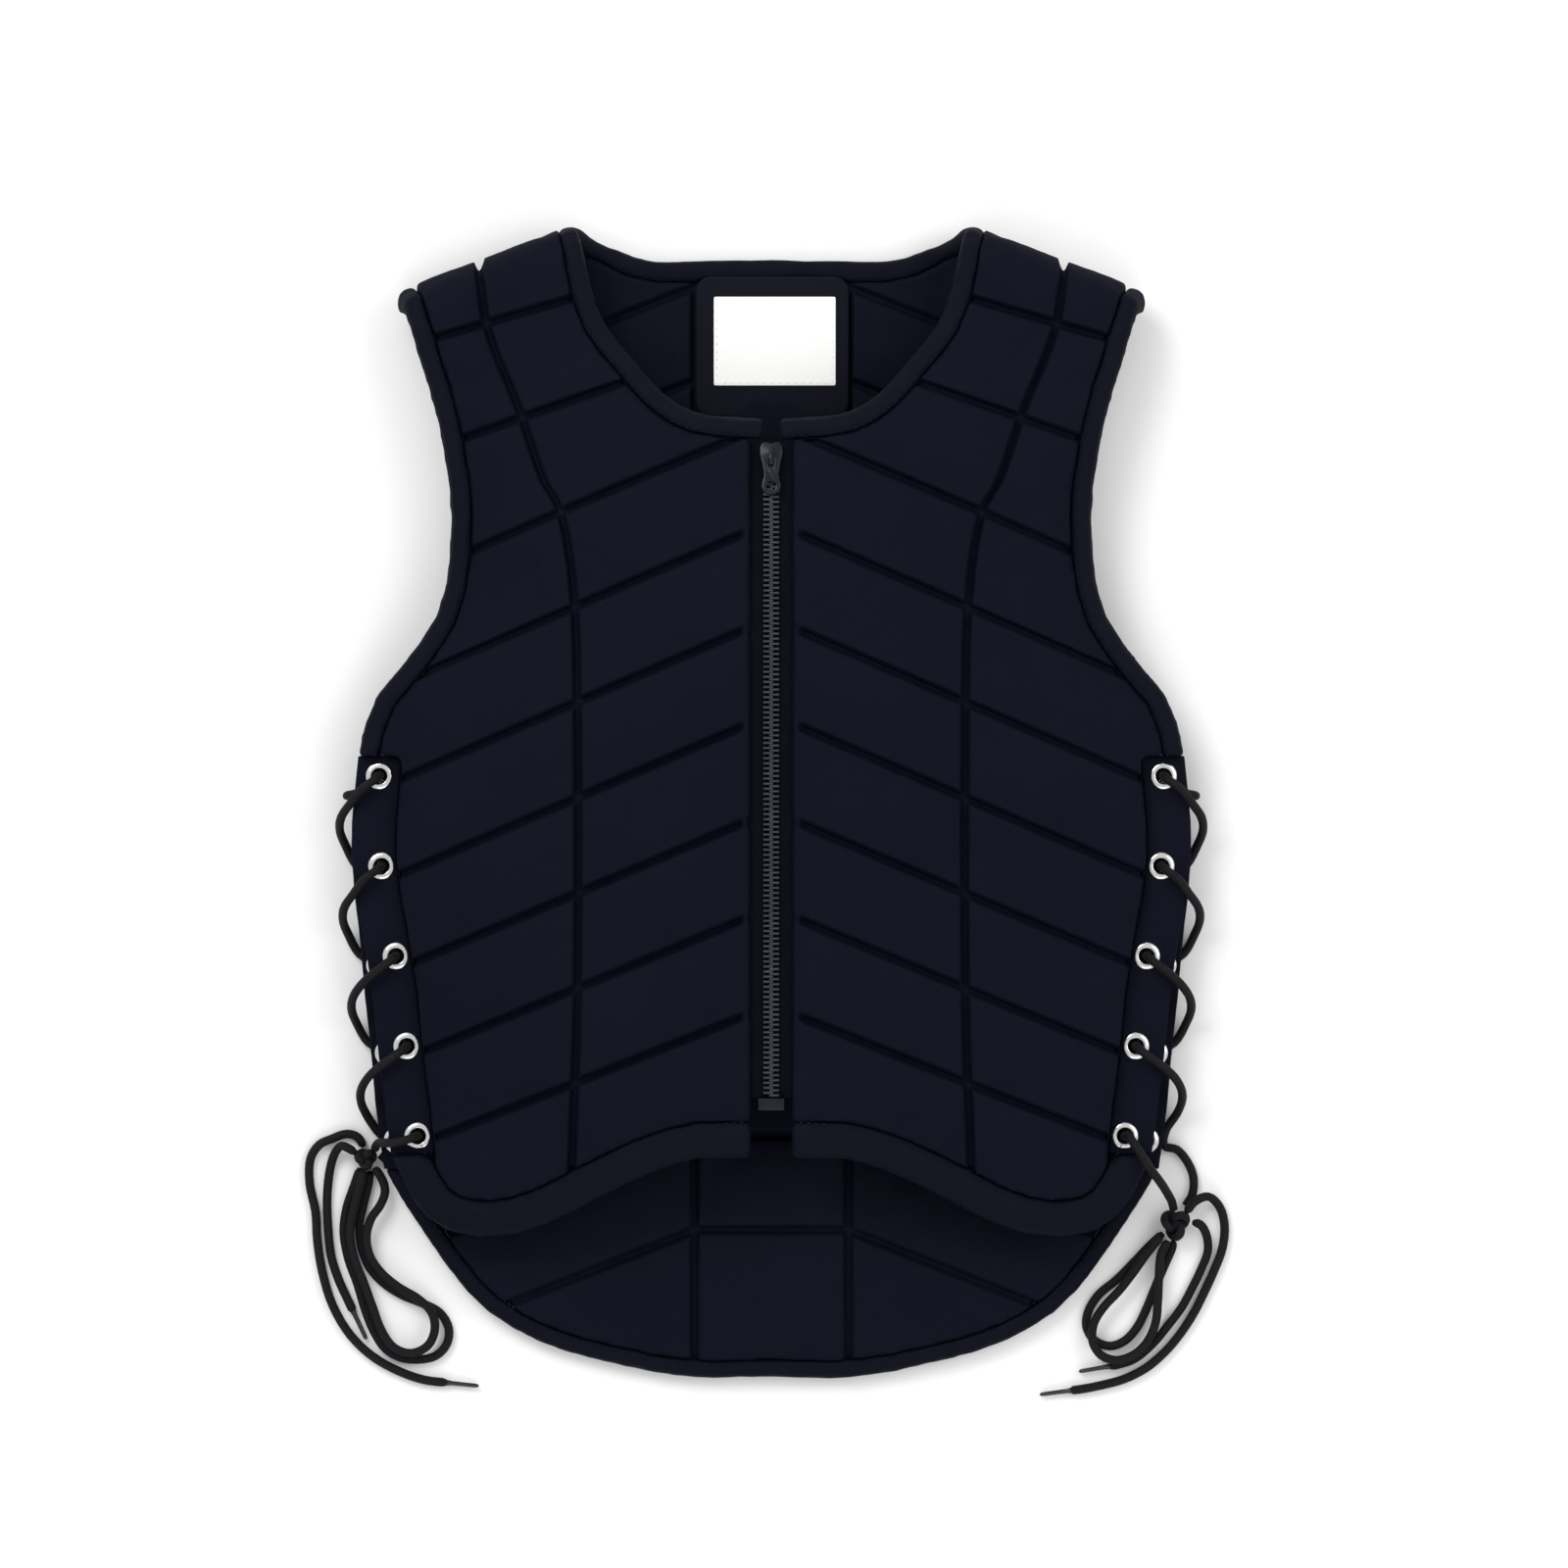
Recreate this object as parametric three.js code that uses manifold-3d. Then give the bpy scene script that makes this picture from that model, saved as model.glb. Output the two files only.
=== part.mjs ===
// Equestrian body protector: a quilted foam vest with a front zip and laced sides, lying on its back.
// Millimetres, +Z up: the front faces +Z, the shoulders point along +Y and the tail along -Y.

import * as THREE from 'three';
import { mergeVertices } from 'three/addons/utils/BufferGeometryUtils.js';
import Module from 'manifold-3d';

const wasm = await Module();
wasm.setup();

// Overall form
const halfWidth = 225.5;
const halfLength = 310.5;
const neckPointX = 105;
const shoulderTipX = 201.6;
const shoulderFall = 37;
const foldRadius = 22;
const foam = 12;
const clearance = 0.35;
const bandGap = 0.8;

// Height of the front's outer surface above the floor
const chestHeight = 84;
const sideHeight = 36;

// Quilting
const grooveWidth = 4.8;
const grooveDepth = 3.4;
const rowPitch = 50.8;
const firstFrontRow = 255.9;
const firstBackRow = 277;
const backSeamX = 41.5;
const backRowSlope = 0.4;
const frontSeamTurn = Math.PI * 0.75;

// Edge bands and lacing strips
const neckBandWidth = 11.5;
const armholeBandWidth = 11.5;
const frontHemWidth = 20;
const backHemWidth = 9.5;
const lacingWidth = 24.5;
const stripThickness = 4;
const frontStripDepth = 8;
const backStripDepth = 8;
const sideTopShare = 0.079;
const frontSideEndShare = -0.612;
const backSideEndShare = -0.638;
const stripTopY = sideTopShare * halfLength - clearance;
const frontStripEndY = frontSideEndShare * halfLength;
const backStripEndY = backSideEndShare * halfLength;

// Eyelets
const eyeletCount = 5;
const frontEyeletDrop = 10.6;
const frontEyeletFoot = 10.2;
const backEyeletDrop = 18.2;
const backEyeletFoot = 15.3;
const frontEyeletInset = 15.6;
const backEyeletInset = 9.2;
const eyeletRadius = 7.35;
const eyeletBore = 3.7;
const eyeletBarrel = 5;
const eyeletFlange = 0.6;

// Zip
const padEdgeX = 11.5;
const neckCentreShare = 0.657;
const frontHemEndShare = -0.605;
const zipFoot = 9.85;
const sliderDrop = 9;
const zipTopY = neckCentreShare * halfLength - neckBandWidth - 3 * clearance;
const zipBottomY = frontHemEndShare * halfLength + frontHemWidth + zipFoot;
const tapeInnerX = 2;
const tapeThickness = 1.2;
const chainHalfWidth = 4.3;
const chainThickness = 2.6;
const chainDepth = 2.6;
const sliderPlate = 1.6;
const sliderY = zipTopY - sliderDrop;
const sliderLength = 15.8;
const pullWidth = 10;
const pullLength = 20;
const pullThickness = 1.4;
const zipBox = { halfWidth: 7, depth: 1.5, thickness: 6.5, length: 6.3 };
const chainAbove = 3;
const crownShare = 0.57;
const crownHalf = 4.6;
const shoulderHalf = 6;
const tailHalf = 4.2;
const crownDrop = 5;
const postWidth = 2.6;
const postLength = 4;
const bridgeWidth = 2;
const bridgeHalf = 3.2;
const bridgeWall = 1.2;
const bridgeHeight = 1;
const bridgeRoom = 1.1;
const pullWaist = 0.72;
const waistShare = 0.42;
const eyeRadius = 2.6;

// Label
const neckBackShare = 0.94;
const patchDrop = 47;
const patchY = neckBackShare * halfLength - patchDrop;
const labelRise = 2.9;
const patchSize = { width: 82, height: 75.6, thickness: 1.2, centreX: 0.5, centreY: patchY };
const labelSize = { width: 65.6, height: 47.8, thickness: 0.6, centreX: 1.8, centreY: patchY + labelRise };

// Laces: routes are read off the photograph, pixels of a 1600 pixel frame, and lie at a height in mm
const laceDiameter = 4.8;
const tipLength = 17;
const tipDiameter = 2.4;
const photoScale = 0.525;
const photoCentre = { across: 787, down: 817.5 };

const material = {
  shell: new THREE.MeshStandardMaterial({ color: 0x181b26, roughness: 0.85 }),
  band: new THREE.MeshStandardMaterial({ color: 0x141722, roughness: 0.75 }),
  tape: new THREE.MeshStandardMaterial({ color: 0x11131c, roughness: 0.9 }),
  teeth: new THREE.MeshStandardMaterial({ color: 0x4a4d58, roughness: 0.45, metalness: 0.2 }),
  slider: new THREE.MeshStandardMaterial({ color: 0x1b1d26, roughness: 0.35, metalness: 0.6 }),
  eyelet: new THREE.MeshStandardMaterial({ color: 0xc9cacc, roughness: 0.25, metalness: 1 }),
  lace: new THREE.MeshStandardMaterial({ color: 0x0d0e12, roughness: 0.9 }),
  patch: new THREE.MeshStandardMaterial({ color: 0x0f111b, roughness: 0.8 }),
  label: new THREE.MeshStandardMaterial({ color: 0xf4f4f2, roughness: 0.8 }),
};

const vest = new THREE.Group();

function addMesh(name, geometry, finish, parent = vest) {
  const mesh = new THREE.Mesh(geometry, finish);
  mesh.name = name;
  parent.add(mesh);
  return mesh;
}

// Outlines of the right half, from tables of shares of halfWidth and halfLength

const armholeEdge = [
  { across: 0.983, along: sideTopShare }, { across: 0.972, along: 0.122 }, { across: 0.937, along: 0.184 },
  { across: 0.878, along: 0.235 }, { across: 0.818, along: 0.294 }, { across: 0.787, along: 0.335 },
  { across: 0.774, along: 0.374 }, { across: 0.764, along: 0.435 }, { across: 0.761, along: 0.499 },
  { across: 0.773, along: 0.580 }, { across: 0.797, along: 0.670 }, { across: 0.847, along: 0.789 },
];
const neckEdgeFront = [
  { across: 0.022, along: neckCentreShare }, { across: 0.098, along: 0.660 }, { across: 0.184, along: 0.669 },
  { across: 0.256, along: 0.702 }, { across: 0.326, along: 0.760 }, { across: 0.393, along: 0.821 },
  { across: 0.428, along: 0.885 },
];
const neckEdgeBack = [
  { across: 0.425, along: 0.985 }, { across: 0.346, along: 0.950 }, { across: 0.279, along: 0.938 },
  { across: 0.155, along: 0.939 }, { across: 0, along: neckBackShare },
];
const frontSide = [
  { across: 0.983, along: sideTopShare }, { across: 1, along: -0.064 }, { across: 0.991, along: -0.161 },
  { across: 0.965, along: -0.258 }, { across: 0.949, along: -0.338 }, { across: 0.938, along: -0.419 },
  { across: 0.922, along: -0.515 }, { across: 0.905, along: frontSideEndShare },
];
const frontHem = [
  { across: 0.905, along: frontSideEndShare }, { across: 0.869, along: -0.670 }, { across: 0.834, along: -0.709 },
  { across: 0.776, along: -0.741 }, { across: 0.696, along: -0.752 }, { across: 0.608, along: -0.747 },
  { across: 0.506, along: -0.720 }, { across: 0.404, along: -0.681 }, { across: 0.297, along: -0.644 },
  { across: 0.182, along: -0.615 }, { across: 0.051, along: frontHemEndShare },
];
const backSide = [
  { across: 0.983, along: sideTopShare }, { across: 1, along: -0.064 }, { across: 0.998, along: -0.145 },
  { across: 0.982, along: -0.242 }, { across: 0.971, along: -0.338 }, { across: 0.956, along: -0.435 },
  { across: 0.945, along: -0.531 }, { across: 0.925, along: backSideEndShare },
];
const backHem = [
  { across: 0.925, along: backSideEndShare }, { across: 0.882, along: -0.692 }, { across: 0.825, along: -0.755 },
  { across: 0.758, along: -0.824 }, { across: 0.687, along: -0.881 }, { across: 0.550, along: -0.940 },
  { across: 0.381, along: -0.976 }, { across: 0.200, along: -1 }, { across: 0, along: -1 },
];
const frontSeam = [
  { along: 0.919, across: 0.696 }, { along: 0.810, across: 0.672 }, { along: 0.676, across: 0.599 },
  { along: 0.552, across: 0.539 }, { along: 0.502, across: 0.501 }, { along: 0.386, across: 0.471 },
  { along: 0.225, across: 0.459 }, { along: -0.312, across: 0.458 }, { along: -0.634, across: 0.473 },
];
const frontRowSlopes = [0.29, 0.34, 0.42, 0.43, 0.43, 0.43, 0.425, 0.417, 0.40];
const backRowCount = 11;

// Centre height as a share of chestHeight, and edge height as a share of sideHeight, down the front
const frontProfile = [
  { along: 0.90, centre: 0.60, edge: 1.22 }, { along: 0.66, centre: 0.80, edge: 1.19 },
  { along: 0.50, centre: 0.90, edge: 1.12 }, { along: 0.32, centre: 0.98, edge: 1.03 },
  { along: 0.10, centre: 1, edge: 1 }, { along: -0.20, centre: 0.95, edge: 1 },
  { along: -0.50, centre: 0.82, edge: 1 }, { along: -0.76, centre: 0.72, edge: 1 },
];
const padEdge = [
  { along: 0.90, across: 0.84 }, { along: 0.67, across: 0.75 }, { along: 0.499, across: 0.71 },
  { along: 0.335, across: 0.735 }, { along: 0.184, across: 0.87 }, { along: 0.04, across: 0.905 },
  { along: -0.16, across: 0.885 }, { along: -0.50, across: 0.83 }, { along: -0.76, across: 0.79 },
];

function read(table, column, along) {
  const last = table.length - 1;
  if (along >= table[0].along) return table[0][column];
  if (along <= table[last].along) return table[last][column];
  let i = 0;
  while (table[i + 1].along > along) i += 1;
  const a = table[i];
  const b = table[i + 1];
  const t = (along - a.along) / (b.along - a.along);
  const slopeAt = (k) => {
    const p = table[Math.max(k - 1, 0)];
    const n = table[Math.min(k + 1, last)];
    return (n[column] - p[column]) / (n.along - p.along);
  };
  const span = b.along - a.along;
  const t2 = t * t;
  const t3 = t2 * t;
  return (2 * t3 - 3 * t2 + 1) * a[column] + (t3 - 2 * t2 + t) * span * slopeAt(i)
    + (3 * t2 - 2 * t3) * b[column] + (t3 - t2) * span * slopeAt(i + 1);
}

// The shoulders: a slanted ridge that both panels fold round

function ridgeY(x) {
  return halfLength - shoulderFall * (Math.abs(x) - neckPointX) / (shoulderTipX - neckPointX);
}

const ridgeRise = (Math.PI / 2 - 1) * foldRadius;

function frontHeight(x, y) {
  const along = y / halfLength;
  const centre = read(frontProfile, 'centre', along) * chestHeight;
  const edge = read(frontProfile, 'edge', along) * sideHeight;
  const ratio = Math.min(1, Math.abs(x) / (read(padEdge, 'across', along) * halfWidth));
  const body = edge + (centre - edge) * (1 - ratio ** 2.2);
  const s = Math.min(1, Math.max(0, (ridgeY(x) - y - foldRadius) / 110));
  const blend = s * s * (3 - 2 * s);
  return 2 * foldRadius * (1 - blend) + body * blend;
}

// q is a point's place along Y on the laid-out panel, w its depth below the panel's outer face
function frontPoint(x, q, w) {
  const below = ridgeY(x) - q;
  if (below >= foldRadius) return [x, q, frontHeight(x, q) - w];
  const turn = (foldRadius - below) / foldRadius;
  const radius = foldRadius - w;
  return [x, ridgeY(x) - foldRadius + radius * Math.sin(turn), foldRadius + radius * Math.cos(turn)];
}

function backPoint(x, q, w) {
  const below = ridgeY(x) - q;
  if (below >= foldRadius) return [x, q, w];
  const turn = (foldRadius - below) / foldRadius;
  const radius = foldRadius - w;
  return [x, ridgeY(x) - foldRadius + radius * Math.sin(turn), foldRadius - radius * Math.cos(turn)];
}

// Closed meshes

function closedGeometry(points, triangles) {
  let volume = 0;
  const a = new THREE.Vector3();
  const b = new THREE.Vector3();
  const c = new THREE.Vector3();
  for (const [i, j, k] of triangles) {
    a.fromArray(points[i]);
    b.fromArray(points[j]);
    c.fromArray(points[k]);
    volume += a.dot(b.cross(c));
  }
  const index = triangles.flatMap(([i, j, k]) => (volume > 0 ? [i, j, k] : [i, k, j]));
  const geometry = new THREE.BufferGeometry();
  geometry.setAttribute('position', new THREE.Float32BufferAttribute(points.flat(), 3));
  geometry.setIndex(index);
  geometry.computeVertexNormals();
  return geometry;
}

function toManifold(source) {
  const bare = source.clone();
  bare.deleteAttribute('normal');
  bare.deleteAttribute('uv');
  const merged = mergeVertices(bare, 1e-5);
  return new wasm.Manifold(new wasm.Mesh({
    numProp: 3,
    vertProperties: merged.attributes.position.array,
    triVerts: Uint32Array.from(merged.index.array),
  }));
}

function manifoldPoints(solid) {
  const mesh = solid.getMesh();
  const points = [];
  for (let i = 0; i < mesh.vertProperties.length; i += mesh.numProp) {
    points.push([mesh.vertProperties[i], mesh.vertProperties[i + 1], mesh.vertProperties[i + 2]]);
  }
  const triangles = [];
  for (let i = 0; i < mesh.triVerts.length; i += 3) {
    triangles.push([mesh.triVerts[i], mesh.triVerts[i + 1], mesh.triVerts[i + 2]]);
  }
  return { points, triangles };
}

function mirrored(geometry) {
  const copy = geometry.clone();
  copy.scale(-1, 1, 1);
  const index = Array.from(copy.index.array);
  for (let i = 0; i < index.length; i += 3) [index[i], index[i + 1]] = [index[i + 1], index[i]];
  copy.setIndex(index);
  copy.computeVertexNormals();
  return copy;
}

// A slight dish keeps flat neighbouring faces apart while a laid-out panel is cut
const dish = (x, q) => 2e-5 * (x * x + q * q);
const beyond = 40;

function gridSlab(columns, rows, place, far) {
  const points = [];
  const triangles = [];
  const across = columns + 1;
  for (const face of [0, 1]) {
    for (let i = 0; i <= rows; i += 1) {
      for (let j = 0; j <= columns; j += 1) {
        const [x, q, w] = place(i, j);
        points.push([x, q, (face === 0 ? w : far) + dish(x, q)]);
      }
    }
  }
  const lower = (rows + 1) * across;
  for (let i = 0; i < rows; i += 1) {
    for (let j = 0; j < columns; j += 1) {
      const p = i * across + j;
      triangles.push([p, p + 1, p + across + 1], [p, p + across + 1, p + across]);
      const m = p + lower;
      triangles.push([m, m + across + 1, m + 1], [m, m + across, m + across + 1]);
    }
  }
  const wall = (p, n) => triangles.push([p, p + lower, n + lower], [p, n + lower, n]);
  for (let j = 0; j < columns; j += 1) {
    wall(j, j + 1);
    wall(rows * across + j + 1, rows * across + j);
  }
  for (let i = 0; i < rows; i += 1) {
    wall((i + 1) * across, i * across);
    wall(i * across + columns, (i + 1) * across + columns);
  }
  return closedGeometry(points, triangles);
}

function prism(outline) {
  const shape = new THREE.Shape(outline.map(([x, q]) => new THREE.Vector2(x, q)));
  const geometry = new THREE.ExtrudeGeometry(shape, { depth: foam + 2 * beyond, bevelEnabled: false });
  geometry.translate(0, 0, -beyond);
  return toManifold(geometry);
}

function cutPanel(outline, outerFace, innerFace, fold) {
  const solid = prism(outline).intersect(toManifold(outerFace)).intersect(toManifold(innerFace));
  const { points, triangles } = manifoldPoints(solid);
  const bent = points.map(([x, q, w]) => fold(x, q, w - dish(x, q)));
  return closedGeometry(bent, triangles);
}

// Edge curves and their inner seams

function smoothCurve(table, count, ends = []) {
  const points = table.map((row) => [row.across * halfWidth, row.along * halfLength]);
  const all = [...points, ...ends].map(([x, y]) => new THREE.Vector3(x, y, 0));
  const curve = new THREE.CatmullRomCurve3(all, false, 'centripetal');
  return curve.getSpacedPoints(count).map((p) => [p.x, p.y]);
}

function inward(curve, width, sign, folds) {
  return curve.map(([x, y], i) => {
    const p = curve[Math.max(i - 1, 0)];
    const n = curve[Math.min(i + 1, curve.length - 1)];
    const length = Math.hypot(n[0] - p[0], n[1] - p[1]);
    let nx = -sign * (n[1] - p[1]) / length;
    let ny = sign * (n[0] - p[0]) / length;
    if (folds) {
      const slope = shoulderFall / (shoulderTipX - neckPointX);
      const reach = Math.hypot(1, slope);
      const side = Math.sign(nx) || 1;
      const k = Math.min(1, Math.max(0, (2 * foldRadius - (ridgeY(x) - y)) / (foldRadius + ridgeRise)));
      nx = nx * (1 - k) + side * k / reach;
      ny = ny * (1 - k) - side * slope * k / reach;
      const size = Math.hypot(nx, ny);
      nx /= size;
      ny /= size;
    }
    return [x + nx * width, y + ny * width];
  });
}

const bandSection = [
  { across: 0, depth: 0.5 }, { across: 0.2, depth: 0.06 }, { across: 0.78, depth: 0 },
  { across: 1, depth: 0.16 }, { across: 1, depth: 0.9 }, { across: 0.2, depth: 0.94 },
];

function band(stations) {
  const points = [];
  const triangles = [];
  const count = bandSection.length;
  for (const { edge, seam, fold, depth = foam } of stations) {
    for (const row of bandSection) {
      const x = edge[0] + (seam[0] - edge[0]) * row.across;
      const q = edge[1] + (seam[1] - edge[1]) * row.across;
      points.push(fold(x, q, row.depth * depth));
    }
  }
  for (let i = 0; i + 1 < stations.length; i += 1) {
    for (let j = 0; j < count; j += 1) {
      const a = i * count + j;
      const b = i * count + (j + 1) % count;
      triangles.push([a, b, b + count], [a, b + count, a + count]);
    }
  }
  const end = (stations.length - 1) * count;
  for (let j = 1; j + 1 < count; j += 1) {
    triangles.push([0, j + 1, j], [end, end + j, end + j + 1]);
  }
  return closedGeometry(points, triangles);
}

const pairs = (edge, seam, fold) => edge.map((point, i) => ({ edge: point, seam: seam[i], fold }));
const ridgeEnd = (x) => [x, ridgeY(x) + ridgeRise];

// Armholes: the same curve on the front and the back, joined over the ridge
const armSteps = 16;
const clearOfStrip = (curve) => curve.map(([x, y], i) => (i === 0 ? [x, stripTopY + clearance] : [x, y]));
const armEdge = clearOfStrip(smoothCurve(armholeEdge, armSteps, [ridgeEnd(shoulderTipX)]));
const armSeam = clearOfStrip(inward(armEdge, armholeBandWidth - bandGap, 1, true));
const armPad = clearOfStrip(inward(armEdge, armholeBandWidth, 1, true));

// Neck: from the zip round over the ridge to the middle of the back
const neckFront = smoothCurve(neckEdgeFront, 15, [ridgeEnd(neckPointX)]);
const neckFrontSeam = inward(neckFront, neckBandWidth - bandGap, -1, true);
const neckFrontPad = inward(neckFront, neckBandWidth, -1, true);
const neckBackTable = neckEdgeBack.map((row) => [row.across * halfWidth, row.along * halfLength]);
const neckBackCurve = new THREE.CatmullRomCurve3(
  [ridgeEnd(neckPointX), ...neckBackTable].map(([x, y]) => new THREE.Vector3(x, y, 0)), false, 'centripetal',
);
const neckBack = neckBackCurve.getSpacedPoints(21).map((p) => [p.x, p.y]);
const levelMiddle = (curve) => curve.map(([x, y], i) => (i === curve.length - 1 ? [0, y] : [x, y]));
const neckBackSeam = levelMiddle(inward(neckBack, neckBandWidth - bandGap, 1, true));
const neckBackPad = levelMiddle(inward(neckBack, neckBandWidth, 1, true));

const flip = (stations) => stations.map(({ edge, seam, fold }) => ({
  edge: [-edge[0], edge[1]], seam: [-seam[0], seam[1]], fold,
})).reverse();

function addBands() {
  const arm = [
    ...pairs(armEdge, armSeam, frontPoint),
    ...pairs(armEdge, armSeam, backPoint).reverse().slice(1),
  ];
  const armGeometry = band(arm);
  addMesh('armhole_band_r', armGeometry, material.band);
  addMesh('armhole_band_l', mirrored(armGeometry), material.band);

  const half = [
    ...pairs(neckFront, neckFrontSeam, frontPoint),
    ...pairs(neckBack, neckBackSeam, backPoint).slice(1),
  ];
  addMesh('neck_band', band([...half, ...flip(half).slice(1)]), material.band);

  const hemGeometry = band(pairs(frontHemEdge, frontHemSeam, frontPoint));
  addMesh('front_hem_band_r', hemGeometry, material.band);
  addMesh('front_hem_band_l', mirrored(hemGeometry), material.band);

  const tail = pairs(backHemEdge, backHemSeam, backPoint);
  addMesh('back_hem_band', band([...tail, ...flip(tail).slice(1)]), material.band);
}

// Hems and side edges; the hem's first station starts clear of the lacing strip
const seamGap = 2 * clearance;
const frontSideEdge = smoothCurve(frontSide, 12);
const backSideEdge = smoothCurve(backSide, 12);
const frontHemEdge = smoothCurve(frontHem, 17).map(([x, y]) => [x, Math.min(y, frontStripEndY - seamGap)]);
const levelStart = (curve, y) => curve.map((p, i) => (i === 0 ? [p[0], y] : p));
const frontHemSeam = levelStart(
  inward(frontHemEdge, frontHemWidth - bandGap, -1, false), frontStripEndY - seamGap,
).map(([x, y], i, all) => (i === all.length - 1 ? [padEdgeX, y] : [x, y]));
const frontHemPad = levelStart(inward(frontHemEdge, frontHemWidth, -1, false), frontStripEndY - seamGap);
const backHemEdge = smoothCurve(backHem, 16);
const backHemSeam = levelMiddle(levelStart(inward(backHemEdge, backHemWidth - bandGap, -1, false), backHemEdge[0][1]));
const backHemPad = levelMiddle(levelStart(inward(backHemEdge, backHemWidth, -1, false), backHemEdge[0][1]));

// Panels

const half = grooveWidth / 2;

function frontGrid(isGroove) {
  const seamX = (y) => read(frontSeam, 'across', y / halfLength) * halfWidth;
  const outerX = halfWidth + 20;
  const fineColumns = [
    { groove: false, at: (y) => 0 * y }, { groove: false, at: (y) => seamX(y) * 0.5 },
    { groove: false, at: (y) => seamX(y) - half }, { groove: true, at: seamX },
    { groove: false, at: (y) => seamX(y) + half }, { groove: false, at: (y) => (seamX(y) + outerX) / 2 },
    { groove: false, at: (y) => outerX + 0 * y },
  ];
  const plainColumns = fineColumns.filter((c, j) => j !== 2 && j !== 4);
  const columns = isGroove ? fineColumns : plainColumns;
  const lines = [];
  const top = firstFrontRow + half;
  for (const rise of [82, 66, 54, 42, 30, 16]) lines.push({ y: top + rise, slope: 0.36, groove: false });
  frontRowSlopes.forEach((slope, i) => {
    const y = firstFrontRow - i * rowPitch;
    if (isGroove) lines.push({ y: y + half, slope, groove: false });
    lines.push({ y, slope, groove: isGroove });
    if (isGroove) lines.push({ y: y - half, slope, groove: false });
    if (!isGroove) lines.push({ y: y - rowPitch / 2, slope, groove: false });
  });
  const last = firstFrontRow - (frontRowSlopes.length - 1) * rowPitch;
  lines.push({ y: last - rowPitch, slope: 0.2, groove: false });
  lines.push({ y: last - 2 * rowPitch, slope: 0, groove: false });
  const place = (i, j) => {
    const line = lines[i];
    let y = line.y;
    let x = 0;
    for (let turn = 0; turn < 6; turn += 1) {
      x = columns[j].at(y);
      y = line.y - line.slope * (x - seamX(line.y));
    }
    const sunk = line.groove || (isGroove && columns[j].groove);
    return [x, y, sunk ? grooveDepth : 0];
  };
  return { columns: columns.length - 1, rows: lines.length - 1, place };
}

function edgeX(curve, y) {
  for (let i = 0; i + 1 < curve.length; i += 1) {
    const [a, b] = [curve[i], curve[i + 1]];
    if (a[1] >= y && b[1] <= y) return a[0] + (b[0] - a[0]) * (a[1] - y) / (a[1] - b[1]);
  }
  return y > curve[0][1] ? curve[0][0] : curve[curve.length - 1][0];
}

// Points down a side at a distance in from its outer edge
function sideLine(edge, endY, width) {
  const ys = edge.map((p) => p[1]).filter((y) => y < stripTopY - 2 && y > endY + 2);
  const shifted = width > 0 ? inward(edge, width, -1, false) : edge;
  return [stripTopY, ...ys, endY].map((y) => [edgeX(shifted, y), y]);
}

// The shoulder seam, behind the ridge: a curve that runs down from the ridge is split where it meets it
const seamBelow = (1 - (Math.PI - frontSeamTurn)) * foldRadius;

function splitAt(curve, drop) {
  const below = ([x, q]) => ridgeY(x) - q;
  const i = curve.findIndex((point) => below(point) > drop);
  const [a, b] = [curve[i - 1], curve[i]];
  const t = (drop - below(a)) / (below(b) - below(a));
  const at = [a[0] + (b[0] - a[0]) * t, a[1] + (b[1] - a[1]) * t];
  return { near: [...curve.slice(0, i), at], far: [at, ...curve.slice(i)] };
}

// Points behind the ridge, laid out as a continuation of the front
const overRidge = (curve) => curve.map(([x, q]) => [x, 2 * (ridgeY(x) + ridgeRise) - q]);

function addFrontPanels() {
  const outer = frontGrid(true);
  const inner = frontGrid(false);
  const outerFace = gridSlab(outer.columns, outer.rows, outer.place, foam + beyond / 2);
  const innerPlace = (i, j) => {
    const [x, q] = inner.place(i, j);
    return [x, q, foam];
  };
  const innerFace = gridSlab(inner.columns, inner.rows, innerPlace, -beyond / 2);
  const armFromRidge = [...armPad].reverse();
  const side = sideLine(frontSideEdge, frontStripEndY, lacingWidth);
  const outline = [
    ...neckFrontPad.filter(([x]) => x > padEdgeX + 4),
    ...overRidge(splitAt(neckBackPad, seamBelow).near).slice(1),
    ...overRidge(splitAt(armFromRidge, seamBelow).near).reverse(),
    ...armFromRidge.slice(1),
    [side[0][0], stripTopY + clearance],
    ...side, [side[side.length - 1][0], frontStripEndY - seamGap],
    ...frontHemPad.filter(([x, y]) => x > padEdgeX + 6 && (y < frontStripEndY - 1.7 || x < halfWidth * 0.7)),
    [padEdgeX, frontHemPad[frontHemPad.length - 1][1]], [padEdgeX, neckFrontPad[0][1]],
  ];
  const geometry = cutPanel(outline, outerFace, innerFace, frontPoint);
  addMesh('front_panel_r', geometry, material.shell);
  addMesh('front_panel_l', mirrored(geometry), material.shell);
}

function backGrid(side) {
  const edge = halfWidth + 20;
  const right = [0, backSeamX - half, backSeamX, backSeamX + half, edge];
  const columns = [...right.slice(1).map((x) => -x).reverse(), ...right];
  const lines = [];
  for (const rise of [76, 56, 47, 38, 18]) lines.push({ y: firstBackRow + rise, groove: false });
  for (let i = 0; i < backRowCount; i += 1) {
    const y = firstBackRow - i * rowPitch;
    lines.push({ y: y + half, groove: false }, { y, groove: true }, { y: y - half, groove: false });
  }
  const last = firstBackRow - (backRowCount - 1) * rowPitch;
  lines.push({ y: last - rowPitch / 2, groove: false }, { y: last - 3 * rowPitch, groove: false });
  const place = (i, j) => {
    const x = columns[j];
    const y = lines[i].y - backRowSlope * Math.max(0, Math.abs(x) - backSeamX);
    const lowered = i === lines.length - 1 ? lines[i].y : y;
    const sunk = lines[i].groove || Math.abs(Math.abs(x) - backSeamX) < 1e-6 ? grooveDepth : 0;
    return [x, lowered, side === 'outer' ? sunk : foam - sunk];
  };
  return { columns: columns.length - 1, rows: lines.length - 1, place };
}

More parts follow.
